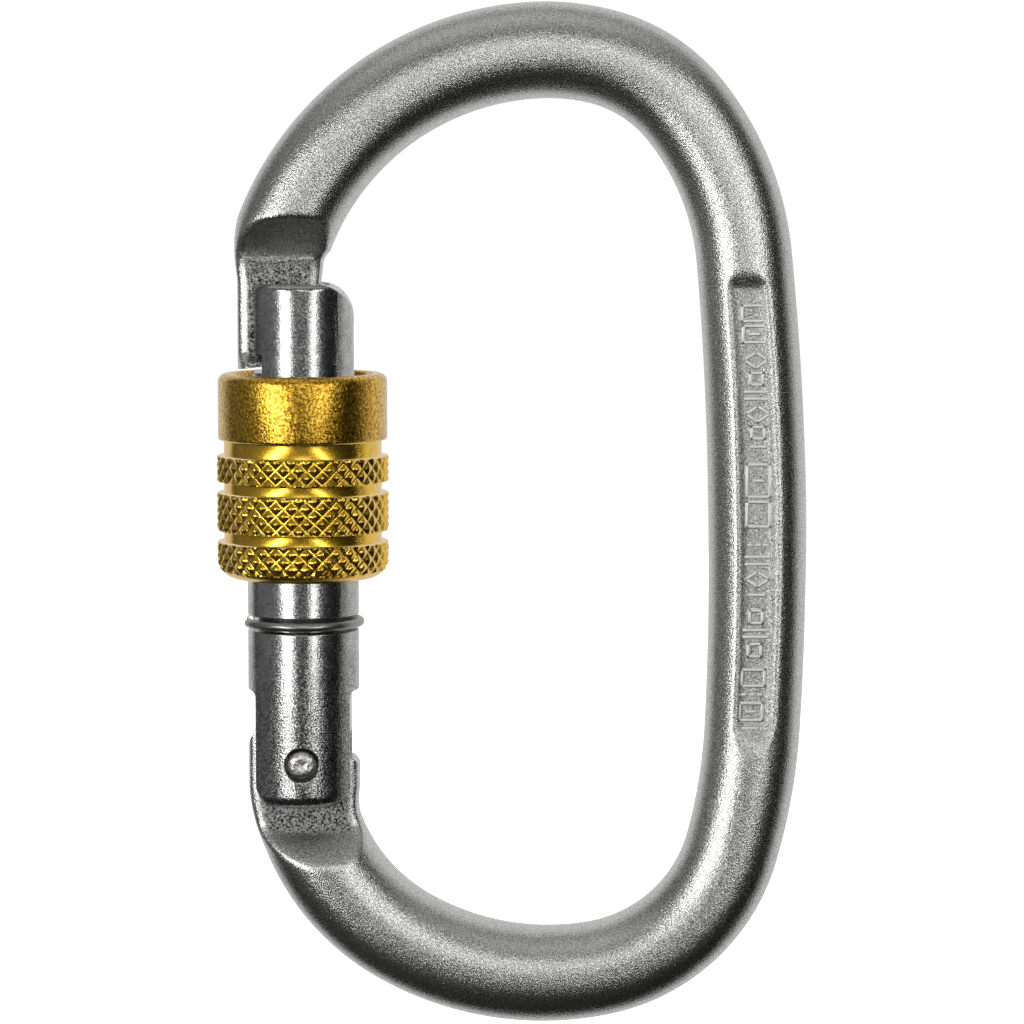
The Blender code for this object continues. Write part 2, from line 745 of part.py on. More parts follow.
make_body(tumbled_aluminium)
make_gate(machined_aluminium, gate_pivot)
make_rivet(bright_steel, gate_pivot)
make_plunger(spring_steel, gate_pivot)
make_spring(spring_steel, gate_pivot)
make_stop_ring(bright_steel, gate_pivot)
make_sleeve(gold_anodised, sleeve_axis)
make_brake_ring(brake_nylon, sleeve_axis)
bpy.context.view_layer.update()
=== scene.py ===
from math import asin, atan2, ceil, cos, floor, pi, radians, sin, sqrt, tau

import bmesh
import bpy
from mathutils import Matrix, Vector


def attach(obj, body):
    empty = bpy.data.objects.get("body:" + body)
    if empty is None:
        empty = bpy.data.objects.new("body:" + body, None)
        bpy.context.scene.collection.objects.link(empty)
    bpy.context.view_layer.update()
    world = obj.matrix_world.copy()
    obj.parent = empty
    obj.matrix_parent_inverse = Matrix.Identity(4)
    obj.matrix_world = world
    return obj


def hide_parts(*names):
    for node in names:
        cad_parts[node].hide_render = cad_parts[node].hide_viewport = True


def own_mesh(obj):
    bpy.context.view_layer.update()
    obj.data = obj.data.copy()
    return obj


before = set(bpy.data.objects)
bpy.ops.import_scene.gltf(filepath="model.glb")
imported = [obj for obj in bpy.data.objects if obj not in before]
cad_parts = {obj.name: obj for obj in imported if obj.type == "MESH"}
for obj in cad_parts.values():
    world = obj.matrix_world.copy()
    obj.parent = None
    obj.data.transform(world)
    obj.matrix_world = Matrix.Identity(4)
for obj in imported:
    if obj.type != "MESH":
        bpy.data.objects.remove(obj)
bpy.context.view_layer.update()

# ---------------------------------------------------------------- body
# The body is one round aluminium bar, bent to an oval and drop forged. The dies press the flat nose,
# the flat hinge tang and the marking recess on each face of the spine. It is then tumbled with
# stone chips, which leaves a bright, fine-grained skin and no sharp edge.

bar_half_width = 0.00512
bar_half_thickness = 0.0054
bar_squareness = 2.25
hinge_end = (-0.02587, -0.0630)
hinge_shank = 0.0098
hinge_share = 1.155
# Each bend of the bar: radius, turn in degrees, and the share of its plain size that it ends at.
bar_bends = (
    (0.0134, 20, 1.06),
    (0.0220, 39.5, 1.02),
    (0.0302, 41.5, 0.98),
    (0.0183, 63.5, 0.975),
    (0.0605, 12.5, 0.99),
    (0.3365, 4.25, 1.015),
    (0.3365, 4.25, 0.985),
    (0.0291, 33, 0.985),
    (0.0165, 38, 0.98),
    (0.0238, 16.5, 0.99),
    (0.0300, 66, 1.015),
    (0.0080, 21, 0.915),
)
nose_length = 0.0125
nose_share = 0.868
bar_step = 0.00040
ring_points = 124

pivot_x = -0.02593
pivot_z = -0.06975

neck_top_z = -0.0170
neck_foot_z = -0.0269
neck_half_thickness = 0.0019
foot_half_thickness = 0.0032
foot_slope = 1.3 / 0.45
foot_end_radius = 0.04207
nose_ramp_length = 0.0046
nose_ramp_rise = 0.0035
scoop_share = 0.55
tang_half_thickness = 0.0023
tang_flat_end_z = -0.07695
tang_ramp_slope = 3.1 / 3.2
edge_width = 0.0014
edge_drop = 0.0008
tang_radius = 0.00605
tang_bore = 0.0019
cam_low_radius = 0.00515
stop_notch_radius = 0.0046

recess_top_z = -0.0194
recess_bottom_z = -0.0656
recess_half_width = 0.0014
recess_side_slope = 1.3
recess_shift = -0.0002
recess_face = 0.00455
recess_depth = 0.00165
recess_narrowing = 0.0003
recess_top_slope = recess_depth / 0.0017
recess_bottom_slope = recess_depth / 0.0036


def soft_least(a, b, blend):
    """The smaller of two heights, with the corner where they meet rounded over."""
    near = max(blend - abs(a - b), 0) / blend
    return min(a, b) - near * near * blend / 4


def soft_most(a, b, blend):
    """The larger of two heights, with the corner where they meet rounded over."""
    return -soft_least(-a, -b, blend)


def draw_bar(shape):
    """Draws the bar round its bends. Gives back each ring of points with its centre."""
    ring = bmesh.ops.create_circle(shape, segments=ring_points, radius=1)["verts"]
    power = 2 / bar_squareness
    for point in ring:
        angle = atan2(point.co.y, point.co.x)
        angle += 0.2 * sin(2 * angle)
        across = abs(cos(angle)) ** power * (1 if cos(angle) > 0 else -1)
        along = abs(sin(angle)) ** power * (1 if sin(angle) > 0 else -1)
        point.co.x = hinge_end[0] + hinge_share * bar_half_width * across
        point.co.y = hinge_share * bar_half_thickness * along
        point.co.z = hinge_end[1]
    edge = shape.edges[:]
    x, z = hinge_end
    heading = -pi / 2
    share = hinge_share
    rings = [(Vector((x, 0, z)), ring)]
    steps = [(0, -pi / 2, hinge_shank, hinge_share)]
    for radius, turn, end_share in bar_bends:
        steps.append((radius, radians(turn), radius * radians(turn), end_share))
    steps.append((0, 0, nose_length / 6, nose_share))
    steps.append((0, 0, nose_length * 5 / 6, nose_share))
    for radius, turn, length, end_share in steps:
        count = ceil(length / bar_step)
        made_before = len(shape.verts)
        if radius:
            middle = Vector((x - radius * sin(heading), 0, z + radius * cos(heading)))
            step = Vector((0, 0, 0))
        else:
            middle = Vector((0, 0, 0))
            step = Vector((cos(heading), 0, sin(heading))) * length / count
        made = bmesh.ops.spin(
            shape,
            geom=edge,
            cent=middle,
            axis=(0, -1, 0),
            dvec=step,
            angle=turn if radius else 0,
            steps=count,
            use_duplicate=False,
        )
        edge = [part for part in made["geom_last"] if isinstance(part, bmesh.types.BMEdge)]
        shape.verts.ensure_lookup_table()
        for i in range(1, count + 1):
            if radius:
                heading += turn / count
                x = middle.x + radius * sin(heading)
                z = middle.z - radius * cos(heading)
            else:
                x += step.x
                z += step.z
            first = made_before + (i - 1) * ring_points
            ring = shape.verts[first : first + ring_points]
            centre = Vector((x, 0, z))
            size = 1 + (end_share / share - 1) * i / count
            bmesh.ops.scale(shape, vec=(size, size, size), space=Matrix.Translation(-centre), verts=ring)
            rings.append((centre, ring))
        share = end_share
    ends = [side for side in shape.edges if side.is_boundary]
    bmesh.ops.holes_fill(shape, edges=ends, sides=0)
    return rings


def nose_height(z):
    """The nose's half thickness: a thick foot, the flat neck, then a scoop up to the round bar."""
    climb = (z - neck_top_z) / nose_ramp_length
    scoop = 1 - sqrt(1 - min(max(climb, 0), 1) ** 2)
    ramp = neck_half_thickness + nose_ramp_rise * ((1 - scoop_share) * climb + scoop_share * scoop)
    if climb > 1:
        ramp += nose_ramp_rise * (climb - 1)
    neck = soft_most(neck_half_thickness, ramp, 0.0005)
    foot = neck_half_thickness + (neck_foot_z - z) * foot_slope
    return soft_most(neck, min(foot, foot_half_thickness), 0.0002)


def tang_height(z):
    """The tang's half thickness: flat about the rivet, then a ramp down to the round bar."""
    ramp = tang_half_thickness + (tang_flat_end_z - z) * tang_ramp_slope
    return soft_most(tang_half_thickness, ramp, 0.0004)


def recess_height(across, z):
    """The recess's half thickness: a flat floor that narrows where it runs out at its ends."""
    climb = 0.0
    if z > recess_top_z:
        climb = (z - recess_top_z) * recess_top_slope
    if z < recess_bottom_z:
        climb = (recess_bottom_z - z) * recess_bottom_slope
    half = recess_half_width - recess_narrowing * min(climb / recess_depth, 1)
    floor_height = recess_face + climb
    return soft_most(floor_height, floor_height + recess_side_slope * (abs(across) - half), 0.0006)


def press_faces(shape, rings):
    """Presses the nose, the tang and the marking recess into both faces, and marks the pressed metal."""
    pressed = shape.verts.layers.float["pressed"]
    eased = []
    for centre, ring in rings:
        on_nose = centre.x < -0.015 and -0.045 < centre.z < 0
        on_tang = centre.x < -0.012 and centre.z < -0.045
        on_spine = centre.x > 0.012 and -0.074 < centre.z < -0.014
        if not (on_nose or on_tang or on_spine):
            continue
        corner_blend = 0.0009 if on_spine else 0.0005
        half = max((point.co - centre).xz.length for point in ring)
        for point in ring:
            x, y, z = point.co
            edge = min(max((point.co - centre).xz.length - half + edge_width, 0) / edge_width, 1)
            if on_nose:
                limit = nose_height(z)
                coarse = 1.0 if z < neck_top_z + 0.0004 else 0.35
            elif on_tang:
                limit = tang_height(z)
                coarse = 1.0 if z > tang_flat_end_z - 0.0004 else 0.35
            else:
                limit = recess_height(x - centre.x - recess_shift, z)
                coarse = 0.45
            if not on_spine:
                limit -= edge_drop * (1 - sqrt(1 - edge * edge))
                coarse *= 1 - min(3 * edge, 1)
            height = soft_least(abs(y), limit, corner_blend)
            if abs(y) - height > 0.00001:
                point.co.y = height if y > 0 else -height
                point[pressed] = min((abs(y) - height) / 0.0003, 1) * coarse
                eased.append(point)
    for _ in range(2):
        bmesh.ops.smooth_vert(
            shape,
            verts=eased,
            factor=0.35,
            use_axis_x=False,
            use_axis_y=True,
            use_axis_z=False,
        )


def finished_mesh(name, shape):
    """Turns the shape into an object at the origin, with its faces outward."""
    bmesh.ops.recalc_face_normals(shape, faces=shape.faces)
    mesh = bpy.data.meshes.new(name)
    shape.to_mesh(mesh)
    shape.free()
    made = bpy.data.objects.new(name, mesh)
    bpy.context.scene.collection.objects.link(made)
    return made


def arc_points(centre, radius, start, end, steps):
    """Points along an arc, from one angle in radians to another."""
    angles = [start + (end - start) * i / steps for i in range(steps + 1)]
    return [(centre[0] + radius * cos(a), centre[1] + radius * sin(a)) for a in angles]


tool_reach = 0.012


def tool_plate(outline, low_y=-tool_reach, high_y=tool_reach):
    """A cutting tool: an outline in X and Z that runs through in Y."""
    shape = bmesh.new()
    corners = [shape.verts.new((x, low_y, z)) for x, z in outline]
    face = shape.faces.new(corners)
    made = bmesh.ops.extrude_face_region(shape, geom=[face])["geom"]
    moved = [part for part in made if isinstance(part, bmesh.types.BMVert)]
    bmesh.ops.translate(shape, verts=moved, vec=(0, high_y - low_y, 0))
    return finished_mesh("tool", shape)


def tool_rod(radius, low, high, turned_to_y=False, place=(0, 0, 0)):
    """A drill: a rod that stands along Z, or lies along Y."""
    shape = bmesh.new()
    bmesh.ops.create_cone(
        shape,
        cap_ends=True,
        segments=64,
        radius1=radius,
        radius2=radius,
        depth=high - low,
        matrix=Matrix.Translation((0, 0, (low + high) / 2)),
    )
    if turned_to_y:
        quarter_turn = Matrix.Rotation(pi / 2, 3, "X")
        bmesh.ops.rotate(shape, cent=(0, 0, 0), matrix=quarter_turn, verts=shape.verts)
    bmesh.ops.translate(shape, verts=shape.verts, vec=place)
    return finished_mesh("tool", shape)


def cut_away(piece, tools):
    """Cuts each tool out of the piece, then puts the tools away."""
    for tool in tools:
        cut = piece.modifiers.new("cut", "BOOLEAN")
        cut.operation = "DIFFERENCE"
        cut.solver = "EXACT"
        cut.object = tool
    bpy.context.view_layer.update()
    graph = bpy.context.evaluated_depsgraph_get()
    mesh = bpy.data.meshes.new_from_object(
        piece.evaluated_get(graph), preserve_all_data_layers=True, depsgraph=graph
    )
    piece.modifiers.clear()
    piece.data = mesh
    for tool in tools:
        bpy.data.objects.remove(tool, do_unlink=True)


def tang_top_outline():
    """The tang's top about the rivet: round, with the plunger's cam and the gate's stop notch."""
    corners = (
        (180, tang_radius),
        (125, tang_radius),
        (108, cam_low_radius),
        (90, cam_low_radius),
        (64, tang_radius),
        (60, tang_radius),
        (46, stop_notch_radius),
        (3, stop_notch_radius),
    )
    points = []
    for (start, start_radius), (end, end_radius) in zip(corners, corners[1:]):
        steps = max(2, round((start - end) / 3))
        for i in range(steps):
            angle = radians(start + (end - start) * i / steps)
            radius = start_radius + (end_radius - start_radius) * i / steps
            points.append((pivot_x + radius * cos(angle), pivot_z + radius * sin(angle)))
    shoulder = pivot_z + 0.0002
    points.append((pivot_x + stop_notch_radius, shoulder))
    points.append((pivot_x + 0.0053, shoulder))
    points.append((pivot_x + tang_radius, shoulder - 0.0008))
    left = pivot_x - tool_reach
    right = pivot_x + tool_reach
    top = pivot_z + tool_reach
    return [(left, top), (left, points[0][1]), *points, (right, points[-1][1]), (right, top)]


def linear(hex_colour):
    """An sRGB colour as the linear one that a shader takes."""
    channels = [int(hex_colour[i : i + 2], 16) / 255 for i in (1, 3, 5)]
    return [c / 12.92 if c <= 0.04045 else ((c + 0.055) / 1.055) ** 2.4 for c in channels] + [1.0]


def add_node(tree, kind, settings=None, links=None):
    """Adds a node. Settings are its own or its sockets' values, and links feed its sockets.

    A socket is given by its name, or by its number where names repeat.
    """
    made = tree.nodes.new(kind)
    for key, value in (settings or {}).items():
        if isinstance(key, str) and hasattr(made, key):
            setattr(made, key, value)
        else:
            made.inputs[key].default_value = value
    for key, source in (links or {}).items():
        tree.links.new(source, made.inputs[key])
    return made


def new_finish(name):
    """A material with only its surface shader, which is given back with its node tree."""
    finish = bpy.data.materials.new(name)
    finish.use_nodes = True
    tree = finish.node_tree
    return finish, tree, tree.nodes["Principled BSDF"]


# Tumbled aluminium: stone chips leave dimples about 0.2 mm wide, so the metal keeps soft reflections
# that break up into sparkling grain. The die's flat faces keep a coarse, sharp stipple of the same size,
# whose pits are painted dark as painted shade.
tumbled_aluminium, tree, surface = new_finish("tumbled_aluminium")
place = add_node(tree, "ShaderNodeTexCoord")
spot = place.outputs["Object"]
grain = add_node(
    tree,
    "ShaderNodeTexNoise",
    {"Scale": 6200, "Detail": 2, "Roughness": 0.6},
    {"Vector": spot},
)
waves = add_node(tree, "ShaderNodeTexNoise", {"Scale": 420, "Detail": 3}, {"Vector": spot})
stipple = add_node(
    tree,
    "ShaderNodeTexNoise",
    {"Scale": 5000, "Detail": 3, "Roughness": 0.75},
    {"Vector": spot},
)
pressed = add_node(tree, "ShaderNodeAttribute", {"attribute_name": "pressed"})
shade = add_node(tree, "ShaderNodeValToRGB", None, {"Fac": grain.outputs["Fac"]})
shade.color_ramp.elements[0].position = 0.36
shade.color_ramp.elements[0].color = linear("#A3A39F")
shade.color_ramp.elements[1].position = 0.62
shade.color_ramp.elements[1].color = linear("#E2E2DE")
# Painted shade: the low spots of the stipple on the pressed faces are painted dark, as the shade in its
# pits.
painted_pit_shade = add_node(tree, "ShaderNodeValToRGB", None, {"Fac": stipple.outputs["Fac"]})
painted_pit_shade.color_ramp.elements[0].position = 0.44
painted_pit_shade.color_ramp.elements[0].color = linear("#2E2E2C")
painted_pit_shade.color_ramp.elements[1].position = 0.54
painted_pit_shade.color_ramp.elements[1].color = linear("#FFFFFF")
pit_shaded = add_node(
    tree,
    "ShaderNodeMix",
    {"data_type": "RGBA", "blend_type": "MULTIPLY"},
    {0: pressed.outputs["Fac"], 6: shade.outputs["Color"], 7: painted_pit_shade.outputs["Color"]},
)
tree.links.new(pit_shaded.outputs[2], surface.inputs["Base Color"])
gloss = add_node(
    tree,
    "ShaderNodeMapRange",
    {"To Min": 0.20, "To Max": 0.32},
    {"Value": grain.outputs["Fac"]},
)
dull = add_node(
    tree,
    "ShaderNodeMath",
    {"operation": "MULTIPLY_ADD", 1: 0.06},
    {0: pressed.outputs["Fac"], 2: gloss.outputs["Result"]},
)
tree.links.new(dull.outputs["Value"], surface.inputs["Roughness"])
fine = add_node(
    tree, "ShaderNodeBump", {"Strength": 1.0, "Distance": 0.000045}, {"Height": grain.outputs["Fac"]}
)
struck = add_node(
    tree,
    "ShaderNodeMath",
    {"operation": "MULTIPLY"},
    {0: stipple.outputs["Fac"], 1: pressed.outputs["Fac"]},
)
rough = add_node(
    tree,
    "ShaderNodeBump",
    {"Strength": 1.0, "Distance": 0.00014},
    {"Height": struck.outputs["Value"], "Normal": fine.outputs["Normal"]},
)
uneven = add_node(
    tree,
    "ShaderNodeBump",
    {"Strength": 1.0, "Distance": 0.00002},
    {"Height": waves.outputs["Fac"], "Normal": rough.outputs["Normal"]},
)
tree.links.new(uneven.outputs["Normal"], surface.inputs["Normal"])
surface.inputs["Metallic"].default_value = 1.0

shape = bmesh.new()
shape.verts.layers.float.new("pressed")
press_faces(shape, draw_bar(shape))
forged_body = finished_mesh("forged_body", shape)
nose_arc = arc_points((pivot_x, pivot_z), foot_end_radius, pi / 2 + 0.19, pi / 2 - 0.10, 24)
nose_foot = pivot_z + 0.036
cut_away(
    forged_body,
    [
        tool_plate([(nose_arc[0][0], nose_foot), *nose_arc, (nose_arc[-1][0], nose_foot)]),
        tool_plate(tang_top_outline()),
        tool_rod(tang_bore, -tool_reach, tool_reach, turned_to_y=True, place=(pivot_x, 0, pivot_z)),
    ],
)
forged_body.data.shade_smooth()
forged_body.data.set_sharp_from_angle(angle=radians(40))
forged_body.data.materials.clear()
forged_body.data.materials.append(tumbled_aluminium)
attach(forged_body, "frame_body")
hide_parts("body")

# ---------------------------------------------------------------- marks in the recess
# The dies also raise a row of marks in each recess: plain frames, bars and dots, 0.18 mm high. Tumbling
# rounds their edges and rubs them brighter than the floor.

mark_height = 0.00018
mark_stroke = 0.00038
mark_half = 0.0012
mark_space = 0.00052
first_mark_z = -0.0214
spine_middle_x = 0.02209
spine_middle_z = -0.0425
spine_radius = 0.3365


def spine_centre(z):
    """The bar's centre line up the spine, which bows out about 0.6 mm."""
    return spine_middle_x - (z - spine_middle_z) ** 2 / (2 * spine_radius)


def raise_stroke(shape, side, start, end):
    """One raised bar between two points, given across the spine and up it."""
    (from_x, from_z), (to_x, to_z) = start, end
    length = sqrt((to_x - from_x) ** 2 + (to_z - from_z) ** 2) + mark_stroke
    middle = ((from_x + to_x) / 2, side * recess_face, (from_z + to_z) / 2)
    turn = atan2(-(to_z - from_z), to_x - from_x)
    matrix = Matrix.Translation(middle) @ Matrix.Rotation(turn, 4, "Y")
    matrix = matrix @ Matrix.Diagonal((length, 2 * mark_height, mark_stroke, 1))
    bmesh.ops.create_cube(shape, size=1, matrix=matrix)


def mark_strokes(kind):
    """The strokes of one mark as fractions of its half width and of its height."""
    if kind == "frame":
        return ((-1, 0, 1, 0), (1, 0, 1, 1), (1, 1, -1, 1), (-1, 1, -1, 0))
    if kind == "barred_frame":
        return (*mark_strokes("frame"), (-0.35, 0.5, 0.35, 0.5))
    if kind == "small_frame":
        return ((-0.55, 0, 0.55, 0), (0.55, 0, 0.55, 1), (0.55, 1, -0.55, 1), (-0.55, 1, -0.55, 0))
    if kind == "lozenge":
        return ((-1, 0.5, 0, 0), (0, 0, 1, 0.5), (1, 0.5, 0, 1), (0, 1, -1, 0.5))
    if kind == "bars":
        return ((-1, 0.2, 1, 0.2), (-1, 0.8, 1, 0.8))
    if kind == "dots":
        return ((-0.8, 0.5, -0.6, 0.5), (-0.1, 0.5, 0.1, 0.5), (0.6, 0.5, 0.8, 0.5))
    return ((-0.6, 0.5, 0.6, 0.5),)


# Each mark and its height in millimetres, from the top down.
mark_row = (
    ("frame", 1.6),
    ("barred_frame", 1.7),
    ("gap", 0.5),
    ("lozenge", 1.7),
    ("small_frame", 1.2),
    ("bars", 1.2),
    ("lozenge", 1.7),
    ("small_frame", 1.2),
    ("dash", 0.7),
    ("gap", 1.0),
    ("barred_frame", 3.4),
    ("frame", 2.6),
    ("gap", 1.0),
    ("dots", 0.9),
    ("bars", 1.3),
    ("lozenge", 1.6),
    ("dash", 0.7),
    ("gap", 0.8),
    ("small_frame", 1.3),
    ("bars", 1.2),
    ("small_frame", 1.3),
    ("gap", 0.9),
    ("frame", 1.7),
    ("dots", 0.8),
    ("barred_frame", 1.8),
    ("dash", 0.7),
)
shape = bmesh.new()
for side in (-1, 1):
    top = first_mark_z
    for kind, height in mark_row:
        height /= 1000
        if kind == "gap":
            top -= height
            continue
        for from_x, from_z, to_x, to_z in mark_strokes(kind):
            low = top - height
            centre_x = spine_centre(low + height / 2)
            start = (centre_x + from_x * mark_half, low + from_z * height)
            end = (centre_x + to_x * mark_half, low + to_z * height)
            raise_stroke(shape, side, start, end)
        top -= height + mark_space
bmesh.ops.bevel(
    shape,
    geom=shape.edges[:],
    offset=0.00010,
    segments=3,
    profile=0.5,
    affect="EDGES",
    material=-1,
    clamp_overlap=True,
)
raised_marks = finished_mesh("raised_marks", shape)
raised_marks.data.shade_smooth()

# Rubbed aluminium: the same metal with its grain worn down, so it is lighter and more even.
rubbed_aluminium, tree, surface = new_finish("rubbed_aluminium")
place = add_node(tree, "ShaderNodeTexCoord")
rubs = add_node(
    tree,
    "ShaderNodeTexNoise",
    {"Scale": 4000, "Detail": 3},
    {"Vector": place.outputs["Object"]},
)
shade = add_node(tree, "ShaderNodeValToRGB", None, {"Fac": rubs.outputs["Fac"]})
shade.color_ramp.elements[0].position = 0.35
shade.color_ramp.elements[0].color = linear("#E4E4E1")
shade.color_ramp.elements[1].position = 0.65
shade.color_ramp.elements[1].color = linear("#F6F6F4")
tree.links.new(shade.outputs["Color"], surface.inputs["Base Color"])
gloss = add_node(
    tree,
    "ShaderNodeMapRange",
    {"To Min": 0.42, "To Max": 0.58},
    {"Value": rubs.outputs["Fac"]},
)
tree.links.new(gloss.outputs["Result"], surface.inputs["Roughness"])
rubbed = add_node(
    tree, "ShaderNodeBump", {"Strength": 1.0, "Distance": 0.00001}, {"Height": rubs.outputs["Fac"]}
)
tree.links.new(rubbed.outputs["Normal"], surface.inputs["Normal"])
surface.inputs["Metallic"].default_value = 1.0
raised_marks.data.materials.append(rubbed_aluminium)
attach(raised_marks, "frame_body")

# ---------------------------------------------------------------- gate
# The gate is turned from aluminium bar: a neck that closes over the nose, a threaded barrel and two
# cheeks for the hinge. Its slots are milled, its edges broken, and it is polished along its length.

gate_top_z = -0.0192
gate_neck_radius = 0.00545
gate_radius = 0.0059
gate_end_z = -0.0745
neck_end_z = -0.0293
groove_floor = 0.0052
outer_flat = 0.0052
thread_top_z = -0.0297
thread_foot_z = -0.0494
thread_pitch = 0.0015
stop_ring_z = -0.0551
gate_fit = 0.0003


def revolve(shape, profile, segments, closed=False):
    """Turns a profile of (radius, height) about the gate's axis."""
    points = [shape.verts.new((pivot_x + radius, 0, z)) for radius, z in profile]
    pairs = list(zip(points, points[1:]))
    if closed:
        pairs.append((points[-1], points[0]))
    edges = [shape.edges.new(pair) for pair in pairs]
    bmesh.ops.spin(
        shape,
        geom=points + edges,
        cent=(pivot_x, 0, 0),
        axis=(0, 0, 1),
        angle=tau,
        steps=segments,
        use_merge=True,
        use_duplicate=False,
    )
    bmesh.ops.remove_doubles(shape, verts=shape.verts, dist=1e-7)


def round_edge(centre, radius, start, end, steps=5):
    """Points round a turned edge, with its angles in degrees."""
    return arc_points(centre, radius, radians(start), radians(end), steps)


end_round = 0.0014
top_round = 0.0007
groove_half = 0.000475 + gate_fit
gate_profile = [(0, gate_top_z)]
gate_profile += round_edge((gate_neck_radius - top_round, gate_top_z - top_round), top_round, 90, 0)
gate_profile += [
    (gate_neck_radius, neck_end_z),
    (gate_neck_radius + 0.0001, thread_foot_z),
    (gate_radius, thread_foot_z - 0.0004),
    (gate_radius, stop_ring_z + groove_half),
    (groove_floor, stop_ring_z + groove_half),
    (groove_floor, stop_ring_z - groove_half),
    (gate_radius, stop_ring_z - groove_half),
]
gate_profile += round_edge((gate_radius - end_round, gate_end_z + end_round), end_round, 0, -90)
gate_profile.append((0, gate_end_z))
shape = bmesh.new()
revolve(shape, gate_profile, 128)
machined_gate = finished_mesh("machined_gate", shape)

open_side = pivot_x - tool_reach
inner_side = pivot_x + tool_reach
past_top = gate_top_z + 0.002
slot_end = pivot_x + 0.0027
neck_gap = neck_half_thickness + gate_fit
foot_gap = foot_half_thickness + gate_fit
pocket_floor = pivot_z + foot_end_radius - 3 * gate_fit
slot_foot = gate_end_z - 0.002
web_x = pivot_x + 0.0040
web_foot = pivot_z + 0.0028
slot_top = pivot_z + 0.0068
cheek_half = 0.0050
cheek_top_z = -0.0623
inner_cut = 0.0037
outer_cut = 0.0009
end_corner = 0.0025
shoulder_round = 0.0006
outer_flat_foot = -0.0292
tang_gap = tang_half_thickness + gate_fit
spring_bore = 0.0018
spring_bore_top = -0.0500
rivet_bore = 0.00178
inner_middle = (pivot_x + gate_neck_radius - inner_cut, gate_top_z - inner_cut)
inner_corner = arc_points(inner_middle, inner_cut, pi / 2, 0, 16)
outer_middle = (pivot_x - outer_flat + outer_cut, gate_top_z - outer_cut)
outer_corner = arc_points(outer_middle, outer_cut, pi, pi / 2, 8)
neck_slot = [
    (open_side, pocket_floor + gate_fit),
    (slot_end, pocket_floor + gate_fit),
    (slot_end, past_top),
    (open_side, past_top),
]
foot_pocket = [
    (open_side, pocket_floor),
    (slot_end + gate_fit, pocket_floor),
    (slot_end + gate_fit, neck_foot_z + gate_fit),
    (open_side, neck_foot_z + gate_fit),
]
tang_slot = [
    (open_side, slot_foot),
    (inner_side, slot_foot),
    (inner_side, web_foot),
    (web_x, web_foot),
    (web_x, slot_top),
    (open_side, slot_top),
]
outer_face = [
    (open_side, outer_flat_foot),
    (pivot_x - outer_flat, outer_flat_foot),
    *outer_corner,
    (outer_corner[-1][0], past_top),
    (open_side, past_top),
]
inner_top = [
    (inner_corner[0][0], past_top),
    *inner_corner,
    (inner_side, inner_corner[-1][1]),
    (inner_side, past_top),
]
gate_tools = [
    tool_plate(neck_slot, -neck_gap, neck_gap),
    tool_plate(foot_pocket, -foot_gap, foot_gap),
    tool_plate(tang_slot, -tang_gap, tang_gap),
    tool_plate(outer_face),
    tool_plate(inner_top),
    tool_rod(spring_bore, slot_top - 0.001, spring_bore_top, place=(pivot_x, 0, 0)),
    tool_rod(rivet_bore, -tool_reach, tool_reach, turned_to_y=True, place=(pivot_x, 0, pivot_z)),
]
for side in (-1, 1):
    start = 0 if side > 0 else pi
    quarter = side * pi / 2
    corner_middle = (pivot_x + side * (cheek_half - end_corner), gate_end_z + end_corner)
    corner = arc_points(corner_middle, end_corner, start, start - quarter, 12)
    shoulder_middle = (pivot_x + side * (cheek_half + shoulder_round), cheek_top_z - shoulder_round)
    shoulder = arc_points(shoulder_middle, shoulder_round, start + pi, start + pi - quarter, 5)
    outer = pivot_x + side * tool_reach
    cheek_side = [
        (outer, shoulder[-1][1]),
        *reversed(shoulder),
        *corner,
        (corner[-1][0], slot_foot),
        (outer, slot_foot),
    ]
    gate_tools.append(tool_plate(cheek_side))
cut_away(machined_gate, gate_tools)
shape = bmesh.new()
shape.from_mesh(machined_gate.data)
bmesh.ops.remove_doubles(shape, verts=shape.verts, dist=2e-6)
bmesh.ops.dissolve_degenerate(shape, dist=2e-6, edges=shape.edges)
shape.to_mesh(machined_gate.data)
shape.free()
broken_edges = machined_gate.modifiers.new("broken_edges", "BEVEL")
broken_edges.width = 0.00016
broken_edges.segments = 3
broken_edges.limit_method = "ANGLE"
broken_edges.angle_limit = radians(32)
broken_edges.use_clamp_overlap = False
flat_faces = machined_gate.modifiers.new("flat_faces", "WEIGHTED_NORMAL")
flat_faces.keep_sharp = True

# Machined, polished aluminium: sharp reflections along the barrel, broken by fine scratches along it and
# by handling marks 0.2 mm across, which are heavier on the cheeks below the stop ring. The marks' dents
# are painted dark as painted shade, more strongly on those cheeks.
polished_aluminium, tree, surface = new_finish("polished_aluminium")
place = add_node(tree, "ShaderNodeTexCoord")
spot = place.outputs["Object"]
split = add_node(tree, "ShaderNodeSeparateXYZ", None, {"Vector": spot})
# How worn the gate is towards its foot: it deepens the handling dents and also strengthens their painted
# shade.
wear_and_dent_shade = add_node(
    tree,
    "ShaderNodeMapRange",
    {"From Min": -0.0560, "From Max": -0.0640, "To Min": 1.0, "To Max": 2.5},
    {"Value": split.outputs["Z"]},
)
lengthwise = add_node(tree, "ShaderNodeMapping", {"Scale": (9000, 9000, 700)}, {"Vector": spot})
scratches = add_node(
    tree,
    "ShaderNodeTexNoise",
    {"Scale": 1.0, "Detail": 3, "Roughness": 0.65},
    {"Vector": lengthwise.outputs["Vector"]},
)
handling = add_node(
    tree,
    "ShaderNodeTexNoise",
    {"Scale": 5200, "Detail": 2, "Roughness": 0.6},
    {"Vector": spot},
)
clouds = add_node(
    tree,
    "ShaderNodeTexNoise",
    {"Scale": 700, "Detail": 4, "Roughness": 0.65},
    {"Vector": spot},
)
shade = add_node(tree, "ShaderNodeValToRGB", None, {"Fac": clouds.outputs["Fac"]})
shade.color_ramp.elements[0].position = 0.3
